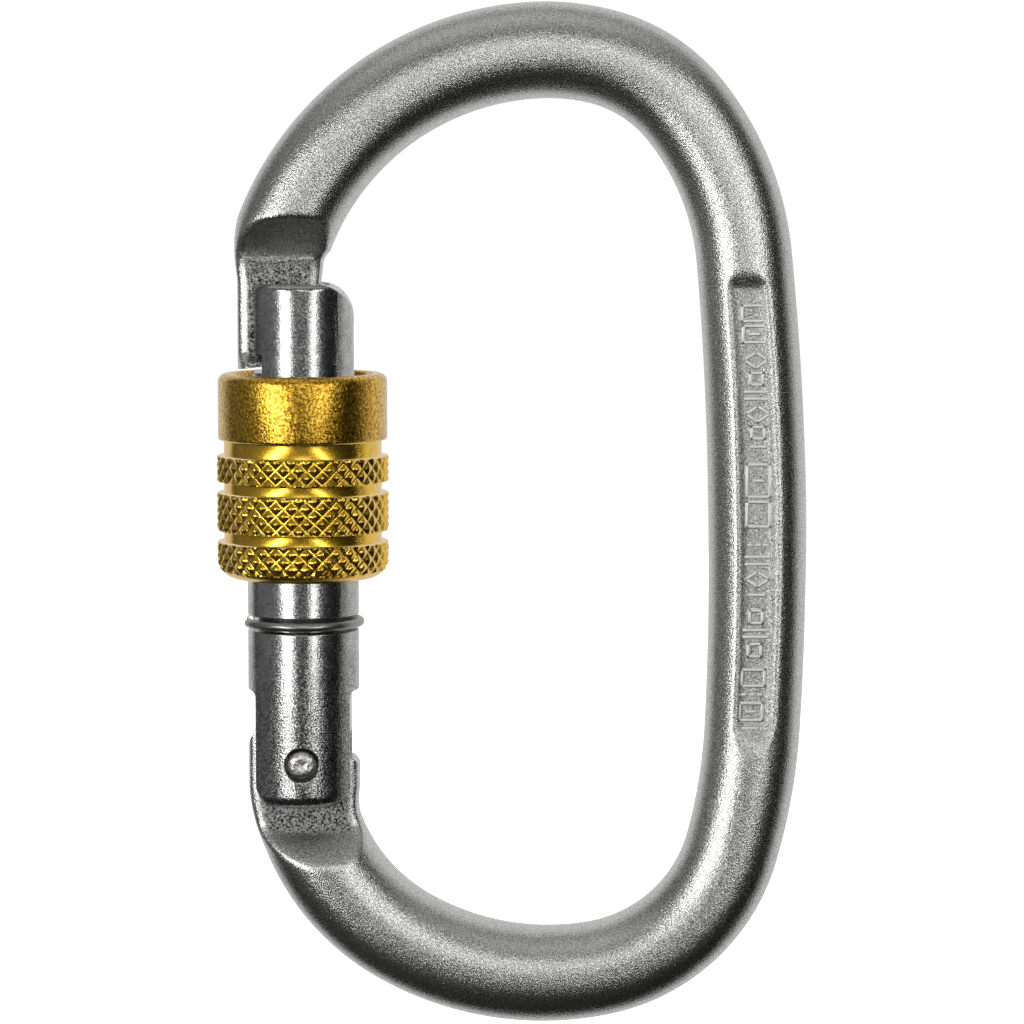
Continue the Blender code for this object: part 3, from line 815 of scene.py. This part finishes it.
shade.color_ramp.elements[0].color = linear("#A8A8A7")
shade.color_ramp.elements[1].position = 0.65
shade.color_ramp.elements[1].color = linear("#CBCBCA")
# Painted shade: the dents of the handling marks are painted dark, more strongly on the worn cheeks below
# the stop ring.
painted_dent_shade = add_node(tree, "ShaderNodeValToRGB", None, {"Fac": handling.outputs["Fac"]})
painted_dent_shade.color_ramp.elements[0].position = 0.40
painted_dent_shade.color_ramp.elements[0].color = linear("#727271")
painted_dent_shade.color_ramp.elements[1].position = 0.56
painted_dent_shade.color_ramp.elements[1].color = linear("#FFFFFF")
dent_shade_amount = add_node(
    tree,
    "ShaderNodeMapRange",
    {"From Min": 1.0, "From Max": 2.5, "To Min": 0.35, "To Max": 0.9},
    {"Value": wear_and_dent_shade.outputs["Result"]},
)
dent_shaded = add_node(
    tree,
    "ShaderNodeMix",
    {"data_type": "RGBA", "blend_type": "MULTIPLY"},
    {0: dent_shade_amount.outputs["Result"], 6: shade.outputs["Color"], 7: painted_dent_shade.outputs["Color"]},
)
tree.links.new(dent_shaded.outputs[2], surface.inputs["Base Color"])
gloss = add_node(
    tree,
    "ShaderNodeMapRange",
    {"From Min": 0.3, "From Max": 0.7, "To Min": 0.14, "To Max": 0.28},
    {"Value": handling.outputs["Fac"]},
)
tree.links.new(gloss.outputs["Result"], surface.inputs["Roughness"])
scored = add_node(
    tree,
    "ShaderNodeBump",
    {"Strength": 1.0, "Distance": 0.000006},
    {"Height": scratches.outputs["Fac"]},
)
knocks = add_node(
    tree,
    "ShaderNodeMath",
    {"operation": "MULTIPLY"},
    {0: handling.outputs["Fac"], 1: wear_and_dent_shade.outputs["Result"]},
)
knocked = add_node(
    tree,
    "ShaderNodeBump",
    {"Strength": 1.0, "Distance": 0.000014},
    {"Height": knocks.outputs["Value"], "Normal": scored.outputs["Normal"]},
)
tree.links.new(knocked.outputs["Normal"], surface.inputs["Normal"])
surface.inputs["Metallic"].default_value = 1.0

machined_gate.data.shade_smooth()
machined_gate.data.materials.clear()
machined_gate.data.materials.append(polished_aluminium)
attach(machined_gate, "gate_assembly")
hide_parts("gate")

# The thread is rolled on the barrel: a 1.5 mm right-hand helix.
shape = bmesh.new()
turns = (thread_top_z - thread_foot_z) / thread_pitch - 1
turn_steps = 64
thread_root = gate_neck_radius - 0.0002
root_half = 0.00068
crest_half = 0.0001
section = [
    (thread_root, -root_half),
    (gate_radius, -crest_half),
    (gate_radius, crest_half),
    (thread_root, root_half),
]
thread_start_z = thread_foot_z + 0.0008
points = [shape.verts.new((pivot_x + radius, 0, thread_start_z + z)) for radius, z in section]
edges = [shape.edges.new(pair) for pair in zip(points, points[1:] + points[:1])]
bmesh.ops.spin(
    shape,
    geom=points + edges,
    cent=(pivot_x, 0, 0),
    axis=(0, 0, 1),
    dvec=(0, 0, thread_pitch / turn_steps),
    angle=turns * tau,
    steps=round(turns * turn_steps),
    use_duplicate=False,
)
ends = [side for side in shape.edges if side.is_boundary]
bmesh.ops.holes_fill(shape, edges=ends, sides=0)
gate_thread = finished_mesh("gate_thread", shape)
gate_thread.data.shade_smooth()
gate_thread.data.set_sharp_from_angle(angle=radians(30))
gate_thread.data.materials.append(polished_aluminium)
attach(gate_thread, "gate_assembly")

# ---------------------------------------------------------------- hinge rivet
# A steel pin through both cheeks and the tang, with its ends peened to low domes by a press that leaves
# a small dint in the middle.

rivet_radius = 0.0016
rivet_half = 0.0060
# The dome's half section: the dint at its middle, its crown, and its fall to the pin.
rivet_profile = [
    (0, rivet_half - 0.00012),
    (0.0003, rivet_half - 0.00010),
    (0.00055, rivet_half - 0.00001),
    (0.0008, rivet_half),
    (0.0011, rivet_half - 0.00008),
    (0.00135, rivet_half - 0.00022),
    (0.00152, rivet_half - 0.00045),
    (rivet_radius, rivet_half - 0.0008),
]
rivet_profile += [(radius, -y) for radius, y in reversed(rivet_profile)]
shape = bmesh.new()
points = [shape.verts.new((radius, 0, z)) for radius, z in rivet_profile]
edges = [shape.edges.new(pair) for pair in zip(points, points[1:])]
bmesh.ops.spin(
    shape,
    geom=points + edges,
    cent=(0, 0, 0),
    axis=(0, 0, 1),
    angle=tau,
    steps=64,
    use_merge=True,
    use_duplicate=False,
)
bmesh.ops.remove_doubles(shape, verts=shape.verts, dist=1e-7)
bmesh.ops.rotate(shape, cent=(0, 0, 0), matrix=Matrix.Rotation(pi / 2, 3, "X"), verts=shape.verts)
bmesh.ops.translate(shape, verts=shape.verts, vec=(pivot_x, 0, pivot_z))
peened_rivet = finished_mesh("peened_rivet", shape)

# Bright steel, peened: small hammer facets about 0.3 mm across over a satin ground.
peened_steel, tree, surface = new_finish("peened_steel")
place = add_node(tree, "ShaderNodeTexCoord")
facets = add_node(tree, "ShaderNodeTexVoronoi", {"Scale": 2600}, {"Vector": place.outputs["Object"]})
grain = add_node(
    tree,
    "ShaderNodeTexNoise",
    {"Scale": 6000, "Detail": 3},
    {"Vector": place.outputs["Object"]},
)
shade = add_node(tree, "ShaderNodeValToRGB", None, {"Fac": grain.outputs["Fac"]})
shade.color_ramp.elements[0].position = 0.35
shade.color_ramp.elements[0].color = linear("#B9B8B4")
shade.color_ramp.elements[1].position = 0.65
shade.color_ramp.elements[1].color = linear("#DAD9D5")
tree.links.new(shade.outputs["Color"], surface.inputs["Base Color"])
gloss = add_node(
    tree,
    "ShaderNodeMapRange",
    {"To Min": 0.28, "To Max": 0.42},
    {"Value": grain.outputs["Fac"]},
)
tree.links.new(gloss.outputs["Result"], surface.inputs["Roughness"])
hammered = add_node(
    tree,
    "ShaderNodeBump",
    {"Strength": 1.0, "Distance": 0.00005},
    {"Height": facets.outputs["Distance"]},
)
tree.links.new(hammered.outputs["Normal"], surface.inputs["Normal"])
surface.inputs["Metallic"].default_value = 1.0

peened_rivet.data.shade_smooth()
peened_rivet.data.materials.append(peened_steel)
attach(peened_rivet, "gate_assembly")
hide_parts("hinge_rivet")

# ---------------------------------------------------------------- spring
# A compression spring of hard steel wire, seven turns long, in the gate's bore. It pushes the plunger
# down, and it shortens as the tang's cam lifts the plunger.

spring_radius = 0.00125
spring_wire = 0.000225
spring_turns = 7
spring_foot_z = -0.0580
spring_top_z = -0.0503
shape = bmesh.new()
steps_per_turn = 24
coil_steps = spring_turns * steps_per_turn
climb = (spring_top_z - spring_foot_z - 2 * spring_wire) / coil_steps
upright = Matrix.Rotation(pi / 2, 4, "X")
wire = bmesh.ops.create_circle(shape, segments=12, radius=spring_wire, matrix=upright)["verts"]
bmesh.ops.translate(shape, verts=wire, vec=(pivot_x + spring_radius, 0, spring_foot_z + spring_wire))
bmesh.ops.spin(
    shape,
    geom=shape.verts[:] + shape.edges[:],
    cent=(pivot_x, 0, 0),
    axis=(0, 0, 1),
    dvec=(0, 0, climb),
    angle=spring_turns * tau,
    steps=coil_steps,
    use_duplicate=False,
)
ends = [side for side in shape.edges if side.is_boundary]
bmesh.ops.holes_fill(shape, edges=ends, sides=0)
coil_spring = finished_mesh("coil_spring", shape)

# Drawn spring steel: dark from its heat treatment, with a fine uneven grain, 0.2 mm, left by the die.
drawn_steel, tree, surface = new_finish("drawn_steel")
place = add_node(tree, "ShaderNodeTexCoord")
lines = add_node(
    tree,
    "ShaderNodeTexNoise",
    {"Scale": 5000, "Detail": 3, "Roughness": 0.6},
    {"Vector": place.outputs["Object"]},
)
shade = add_node(tree, "ShaderNodeValToRGB", None, {"Fac": lines.outputs["Fac"]})
shade.color_ramp.elements[0].position = 0.35
shade.color_ramp.elements[0].color = linear("#8B8883")
shade.color_ramp.elements[1].position = 0.65
shade.color_ramp.elements[1].color = linear("#B3B0AA")
tree.links.new(shade.outputs["Color"], surface.inputs["Base Color"])
gloss = add_node(
    tree,
    "ShaderNodeMapRange",
    {"To Min": 0.24, "To Max": 0.40},
    {"Value": lines.outputs["Fac"]},
)
tree.links.new(gloss.outputs["Result"], surface.inputs["Roughness"])
drawn = add_node(
    tree,
    "ShaderNodeBump",
    {"Strength": 1.0, "Distance": 0.000006},
    {"Height": lines.outputs["Fac"]},
)
tree.links.new(drawn.outputs["Normal"], surface.inputs["Normal"])
surface.inputs["Metallic"].default_value = 1.0

coil_spring.data.shade_smooth()
coil_spring.data.set_sharp_from_angle(angle=radians(50))
coil_spring.data.materials.append(drawn_steel)
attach(coil_spring, "gate_assembly")
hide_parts("gate_spring")
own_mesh(coil_spring)

# ---------------------------------------------------------------- plunger
# The turned steel plunger rides on the tang's cam. It is out of sight in the gate's bore, so it keeps
# the frame's own shape.

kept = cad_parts["spring_plunger"]
kept.data.materials.clear()
kept.data.materials.append(drawn_steel)

# ---------------------------------------------------------------- stop ring
# A clip of round spring wire, 0.95 mm thick, sprung into its groove in the gate. It stops the sleeve,
# and its gap is on the gate's outer side.

ring_wire = 0.000475
ring_radius = 0.0060
ring_gap = radians(34)
shape = bmesh.new()
wire = bmesh.ops.create_circle(shape, segments=20, radius=ring_wire, matrix=upright)["verts"]
bmesh.ops.translate(shape, verts=wire, vec=(ring_radius, 0, 0))
start_turn = Matrix.Rotation(pi + ring_gap / 2, 3, "Z")
bmesh.ops.rotate(shape, cent=(0, 0, 0), matrix=start_turn, verts=wire)
bmesh.ops.spin(
    shape,
    geom=shape.verts[:] + shape.edges[:],
    cent=(0, 0, 0),
    axis=(0, 0, 1),
    angle=tau - ring_gap,
    steps=110,
    use_duplicate=False,
)
ends = [side for side in shape.edges if side.is_boundary]
caps = bmesh.ops.holes_fill(shape, edges=ends, sides=0)["faces"]
rims = list({side for face in caps for side in face.edges})
bmesh.ops.bevel(shape, geom=rims, offset=0.00012, segments=3, profile=0.5, affect="EDGES", material=-1)
bmesh.ops.translate(shape, verts=shape.verts, vec=(pivot_x, 0, stop_ring_z))
wire_ring = finished_mesh("wire_ring", shape)
wire_ring.data.shade_smooth()
wire_ring.data.set_sharp_from_angle(angle=radians(50))
wire_ring.data.materials.append(drawn_steel)
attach(wire_ring, "gate_assembly")
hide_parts("stop_ring")

# ---------------------------------------------------------------- lock sleeve
# The sleeve is turned from aluminium bar, knurled in three bands and anodised gold. Its plain hood
# closes over the nose when it is screwed up, and the narrow bore below the hood carries the thread.

hood_radius = 0.00895
hood_bore = 0.00735
hood_bore_foot_z = -0.0377
thread_bore = 0.00605
thread_bore_top_z = -0.0385
thread_bore_foot_z = -0.0458
foot_bore = 0.0063
foot_bore_top_z = -0.0466
brake_groove_radius = 0.0072
brake_groove_top_z = -0.0474
brake_groove_foot_z = -0.0488
knurl_radius = 0.0090998
knurl_depth = 0.00030
knurl_around = 34
knurl_pitch = 0.0016
knurl_flat = 0.82
groove_radius = 0.00835
sleeve_top_z = -0.0287
hood_foot_z = -0.0357
sleeve_foot_z = -0.0504
bands = ((-0.0374, -0.0401), (-0.0413, -0.0453), (-0.0465, -0.0496))
rim_round = 0.0009
mouth_round = 0.0004
hood_foot_round = 0.0002
groove_round = 0.00015
bore_chamfer = 0.0002
foot_round = 0.0020
edge_break = 0.00012
row_step = 0.00013


def grip_radius(z):
    """The knurled bands' radius, which draws in round the sleeve's foot."""
    drop = min(z - sleeve_foot_z - foot_round, 0)
    return knurl_radius - foot_round + sqrt(foot_round**2 - drop**2)


mouth = (hood_bore + mouth_round, sleeve_top_z - mouth_round)
rim = (hood_radius - rim_round, sleeve_top_z - rim_round)
hood_foot = (hood_radius - hood_foot_round, hood_foot_z + hood_foot_round)
sleeve_outline = round_edge(mouth, mouth_round, 180, 90, 4)
sleeve_outline += round_edge(rim, rim_round, 90, 0, 8)
sleeve_outline += round_edge(hood_foot, hood_foot_round, 0, -90, 3)
for top, foot in bands:
    groove_x = groove_radius + groove_round
    groove_top = sleeve_outline[-1][1] - groove_round
    sleeve_outline += round_edge((groove_x, groove_top), groove_round, 90, 180, 3)
    sleeve_outline += round_edge((groove_x, top + groove_round), groove_round, 180, 270, 3)
    sleeve_outline.append((knurl_radius - edge_break, top))
    rows = ceil((top - foot - 2 * edge_break) / row_step)
    for i in range(rows + 1):
        z = top - edge_break + (foot + edge_break - top + edge_break) * i / rows
        sleeve_outline.append((grip_radius(z), z))
    sleeve_outline.append((grip_radius(foot) - edge_break, foot))
sleeve_outline = sleeve_outline[:-1]
foot_start = -asin((sleeve_foot_z + foot_round - bands[-1][1]) / foot_round)
foot_middle = (knurl_radius - foot_round, sleeve_foot_z + foot_round)
foot_arc = arc_points(foot_middle, foot_round, foot_start, -pi / 2, 8)
sleeve_outline += [(radius - edge_break, z) for radius, z in foot_arc[:-1]] + [foot_arc[-1]]
sleeve_outline += [
    (foot_bore + bore_chamfer, sleeve_foot_z),
    (foot_bore, sleeve_foot_z + bore_chamfer),
    (foot_bore, brake_groove_foot_z),
    (brake_groove_radius, brake_groove_foot_z),
    (brake_groove_radius, brake_groove_top_z),
    (foot_bore, brake_groove_top_z),
    (foot_bore, foot_bore_top_z),
    (thread_bore, thread_bore_foot_z),
    (thread_bore, thread_bore_top_z),
    (hood_bore, hood_bore_foot_z),
]


def knurl_height(angle, z):
    """How high the knurl stands here, from 0 in its grooves to 1 on its points."""
    one = angle * knurl_around / tau + z / knurl_pitch
    other = angle * knurl_around / tau - z / knurl_pitch
    near_one = abs(2 * (one - floor(one)) - 1)
    near_other = abs(2 * (other - floor(other)) - 1)
    return min(1 - max(near_one, near_other), knurl_flat) / knurl_flat


shape = bmesh.new()
revolve(shape, sleeve_outline, 408, closed=True)
for point in shape.verts:
    across = Vector((point.co.x - pivot_x, point.co.y))
    if point.co.z > bands[-1][1] and across.length > grip_radius(point.co.z) - 0.00001:
        depth = knurl_depth * (1 - knurl_height(atan2(across.y, across.x), point.co.z))
        across *= (across.length - depth) / across.length
        point.co.x = pivot_x + across.x
        point.co.y = across.y
knurled_sleeve = finished_mesh("knurled_sleeve", shape)

# Gold anodised aluminium: a dyed oxide a few thousandths thick over a lightly blasted ground. The dye
# tints the metal's reflection and the clear oxide adds a white one. The hood's ground is wrinkled, about
# 0.3 mm, and the hollows of the wrinkles are painted darker as painted shade. The sleeve is left out of
# reflections, so that its gold doesn't tint the bright spine.
gold_anodised, tree, surface = new_finish("gold_anodised_aluminium")
place = add_node(tree, "ShaderNodeTexCoord")
spot = place.outputs["Object"]
ground = add_node(
    tree,
    "ShaderNodeTexNoise",
    {"Scale": 3400, "Detail": 3, "Roughness": 0.65},
    {"Vector": spot},
)
dye = add_node(tree, "ShaderNodeTexNoise", {"Scale": 900, "Detail": 3}, {"Vector": spot})
shade = add_node(tree, "ShaderNodeValToRGB", None, {"Fac": dye.outputs["Fac"]})
shade.color_ramp.elements[0].position = 0.3
shade.color_ramp.elements[0].color = linear("#EAB830")
shade.color_ramp.elements[1].position = 0.7
shade.color_ramp.elements[1].color = linear("#FCCF48")
gloss = add_node(
    tree,
    "ShaderNodeMapRange",
    {"To Min": 0.19, "To Max": 0.32},
    {"Value": ground.outputs["Fac"]},
)
tree.links.new(gloss.outputs["Result"], surface.inputs["Roughness"])
split = add_node(tree, "ShaderNodeSeparateXYZ", None, {"Vector": spot})
on_hood = add_node(
    tree,
    "ShaderNodeMapRange",
    {"From Min": hood_foot_z - 0.0002, "From Max": hood_foot_z + 0.0002, "To Min": 0.12, "To Max": 1.0},
    {"Value": split.outputs["Z"]},
)
# Painted shade: the low spots of the hood's wrinkled ground are painted darker, as the shade in its
# hollows.
painted_hollow_shade = add_node(tree, "ShaderNodeValToRGB", None, {"Fac": ground.outputs["Fac"]})
painted_hollow_shade.color_ramp.elements[0].position = 0.40
painted_hollow_shade.color_ramp.elements[0].color = linear("#A8946A")
painted_hollow_shade.color_ramp.elements[1].position = 0.58
painted_hollow_shade.color_ramp.elements[1].color = linear("#FFFFFF")
hollow_shaded = add_node(
    tree,
    "ShaderNodeMix",
    {"data_type": "RGBA", "blend_type": "MULTIPLY"},
    {0: on_hood.outputs["Result"], 6: shade.outputs["Color"], 7: painted_hollow_shade.outputs["Color"]},
)
tree.links.new(hollow_shaded.outputs[2], surface.inputs["Base Color"])
blasted = add_node(
    tree,
    "ShaderNodeMath",
    {"operation": "MULTIPLY"},
    {0: ground.outputs["Fac"], 1: on_hood.outputs["Result"]},
)
bumps = add_node(
    tree, "ShaderNodeBump", {"Strength": 1.0, "Distance": 0.00005}, {"Height": blasted.outputs["Value"]}
)
tree.links.new(bumps.outputs["Normal"], surface.inputs["Normal"])
surface.inputs["Metallic"].default_value = 1.0
surface.inputs["Coat Weight"].default_value = 0.45
surface.inputs["Coat Roughness"].default_value = 0.12
tree.links.new(bumps.outputs["Normal"], surface.inputs["Coat Normal"])

knurled_sleeve.data.shade_smooth()
knurled_sleeve.data.set_sharp_from_angle(angle=radians(35))
knurled_sleeve.data.materials.append(gold_anodised)
knurled_sleeve.visible_glossy = False
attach(knurled_sleeve, "sleeve")
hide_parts("lock_sleeve")

# ---------------------------------------------------------------- brake ring
# A moulded nylon ring in the sleeve's bore. It rubs on the barrel, so that the screw doesn't work loose.

# Moulded nylon: dark grey, softly shiny, with the faint orange peel of its mould.
moulded_nylon, tree, surface = new_finish("moulded_nylon")
place = add_node(tree, "ShaderNodeTexCoord")
peel = add_node(
    tree,
    "ShaderNodeTexNoise",
    {"Scale": 2500, "Detail": 2},
    {"Vector": place.outputs["Object"]},
)
shade = add_node(tree, "ShaderNodeValToRGB", None, {"Fac": peel.outputs["Fac"]})
shade.color_ramp.elements[0].color = linear("#2B2B2C")
shade.color_ramp.elements[1].color = linear("#39393A")
tree.links.new(shade.outputs["Color"], surface.inputs["Base Color"])
gloss = add_node(
    tree,
    "ShaderNodeMapRange",
    {"To Min": 0.42, "To Max": 0.55},
    {"Value": peel.outputs["Fac"]},
)
tree.links.new(gloss.outputs["Result"], surface.inputs["Roughness"])
moulded = add_node(
    tree,
    "ShaderNodeBump",
    {"Strength": 1.0, "Distance": 0.000008},
    {"Height": peel.outputs["Fac"]},
)
tree.links.new(moulded.outputs["Normal"], surface.inputs["Normal"])
surface.inputs["IOR"].default_value = 1.53

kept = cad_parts["sleeve_brake_ring"]
kept.data.materials.clear()
kept.data.materials.append(moulded_nylon)

# ---------------------------------------------------------------- studio
# A pale floor, a bright wall of light behind, and three soft boxes in front: left and right of the camera
# and above it. Bright metal shows little but its surroundings, so these set its look.

aim = Vector((-0.00378, 0, -0.04347))
camera_distance = 0.45
camera_rise = radians(5.2)
camera_data = bpy.data.cameras.new("camera")
camera_data.lens = 149.2
camera_data.sensor_width = 36
camera_data.clip_start = 0.01
camera_data.clip_end = 20
camera = bpy.data.objects.new("camera", camera_data)
camera.location = aim + camera_distance * Vector((0, -cos(camera_rise), sin(camera_rise)))
camera.rotation_euler = (pi / 2 - camera_rise, 0, 0)
bpy.context.scene.collection.objects.link(camera)
bpy.context.scene.camera = camera

floor_z = -0.45
floor_place = Matrix.Translation((0, 0, floor_z))
shape = bmesh.new()
bmesh.ops.create_grid(shape, x_segments=1, y_segments=1, size=4, matrix=floor_place)
floor_sheet = finished_mesh("floor", shape)
pale_paper, tree, surface = new_finish("pale_paper")
surface.inputs["Base Color"].default_value = linear("#F4F4F4")
surface.inputs["Roughness"].default_value = 0.9
surface.inputs["Emission Color"].default_value = (1, 1, 1, 1)
surface.inputs["Emission Strength"].default_value = 1.0
floor_sheet.data.materials.append(pale_paper)
floor_sheet.visible_glossy = False


box_distance = 0.60
box_aim = Vector((0, 0, -0.044))


def soft_box(name, azimuth, rise, width, height, brightness):
    """An area light that faces the carabiner, placed by its angles in degrees from the camera's side."""
    data = bpy.data.lights.new(name, "AREA")
    data.shape = "RECTANGLE"
    data.size = width
    data.size_y = height
    data.energy = brightness * pi * width * height
    box = bpy.data.objects.new(name, data)
    turn, up = radians(azimuth), radians(rise)
    way = Vector((sin(turn) * cos(up), -cos(turn) * cos(up), sin(up)))
    box.location = box_aim + box_distance * way
    box.rotation_euler = (-way).to_track_quat("-Z", "Z").to_euler()
    box.visible_camera = False
    bpy.context.scene.collection.objects.link(box)


soft_box("left_soft_box", -38, 0, 0.11, 0.42, 9.0)
soft_box("right_soft_box", 30, 7, 0.075, 0.55, 6.0)
soft_box("upper_soft_box", 0, 17, 0.24, 0.18, 2.4)

# The room is bright behind the carabiner, dark in a ring about it, and dim on the camera's side.
world = bpy.data.worlds.new("studio")
world.use_nodes = True
bpy.context.scene.world = world
tree = world.node_tree
tree.nodes.clear()
way = add_node(tree, "ShaderNodeTexCoord")
split = add_node(tree, "ShaderNodeSeparateXYZ", None, {"Vector": way.outputs["Generated"]})
height = add_node(tree, "ShaderNodeMath", {"operation": "ABSOLUTE"}, {0: split.outputs["Z"]})
lean = add_node(
    tree,
    "ShaderNodeMath",
    {"operation": "MULTIPLY_ADD", 1: 0.194, 2: -0.398},
    {0: split.outputs["X"]},
)
reach = add_node(
    tree,
    "ShaderNodeMath",
    {"operation": "MULTIPLY_ADD", 1: -0.04},
    {0: height.outputs["Value"], 2: lean.outputs["Value"]},
)
behind = add_node(
    tree,
    "ShaderNodeMath",
    {"operation": "ADD"},
    {0: split.outputs["Y"], 1: reach.outputs["Value"]},
)
wall = add_node(
    tree,
    "ShaderNodeMapRange",
    {"interpolation_type": "SMOOTHSTEP", "From Min": -0.01, "From Max": 0.03},
    {"Value": behind.outputs["Value"]},
)
dark_ring = add_node(
    tree,
    "ShaderNodeMapRange",
    {"From Min": -0.32, "From Max": -0.08, "To Min": 1.0, "To Max": 0.12},
    {"Value": behind.outputs["Value"]},
)
room_side = add_node(
    tree,
    "ShaderNodeMath",
    {"operation": "MULTIPLY_ADD", 1: -0.085, 2: 0.095},
    {0: split.outputs["X"]},
)
ceiling = add_node(
    tree,
    "ShaderNodeMapRange",
    {"interpolation_type": "SMOOTHSTEP", "From Min": 0.5, "From Max": 0.95, "To Max": 0.5},
    {"Value": split.outputs["Z"]},
)
below = add_node(
    tree,
    "ShaderNodeMapRange",
    {
        "interpolation_type": "SMOOTHSTEP",
        "From Min": -0.5,
        "From Max": -0.2,
        "To Min": 0.25,
        "To Max": 1.0,
    },
    {"Value": split.outputs["Z"]},
)
room = add_node(
    tree,
    "ShaderNodeMath",
    {"operation": "MULTIPLY_ADD"},
    {0: room_side.outputs["Value"], 1: below.outputs["Result"], 2: ceiling.outputs["Result"]},
)
room_dim = add_node(
    tree,
    "ShaderNodeMath",
    {"operation": "MULTIPLY"},
    {0: room.outputs["Value"], 1: dark_ring.outputs["Result"]},
)
glow = add_node(
    tree,
    "ShaderNodeMix",
    {"data_type": "FLOAT", 3: 0.78},
    {0: wall.outputs["Result"], 2: room_dim.outputs["Value"]},
)
seen = add_node(tree, "ShaderNodeLightPath")
shown = add_node(
    tree,
    "ShaderNodeMix",
    {"data_type": "FLOAT", 3: 1.05},
    {0: seen.outputs["Is Camera Ray"], 2: glow.outputs[0]},
)
light = add_node(tree, "ShaderNodeBackground", {"Color": (1, 1, 1, 1)}, {"Strength": shown.outputs[0]})
add_node(tree, "ShaderNodeOutputWorld", None, {"Surface": light.outputs["Background"]})
bpy.context.scene.view_settings.view_transform = "Standard"
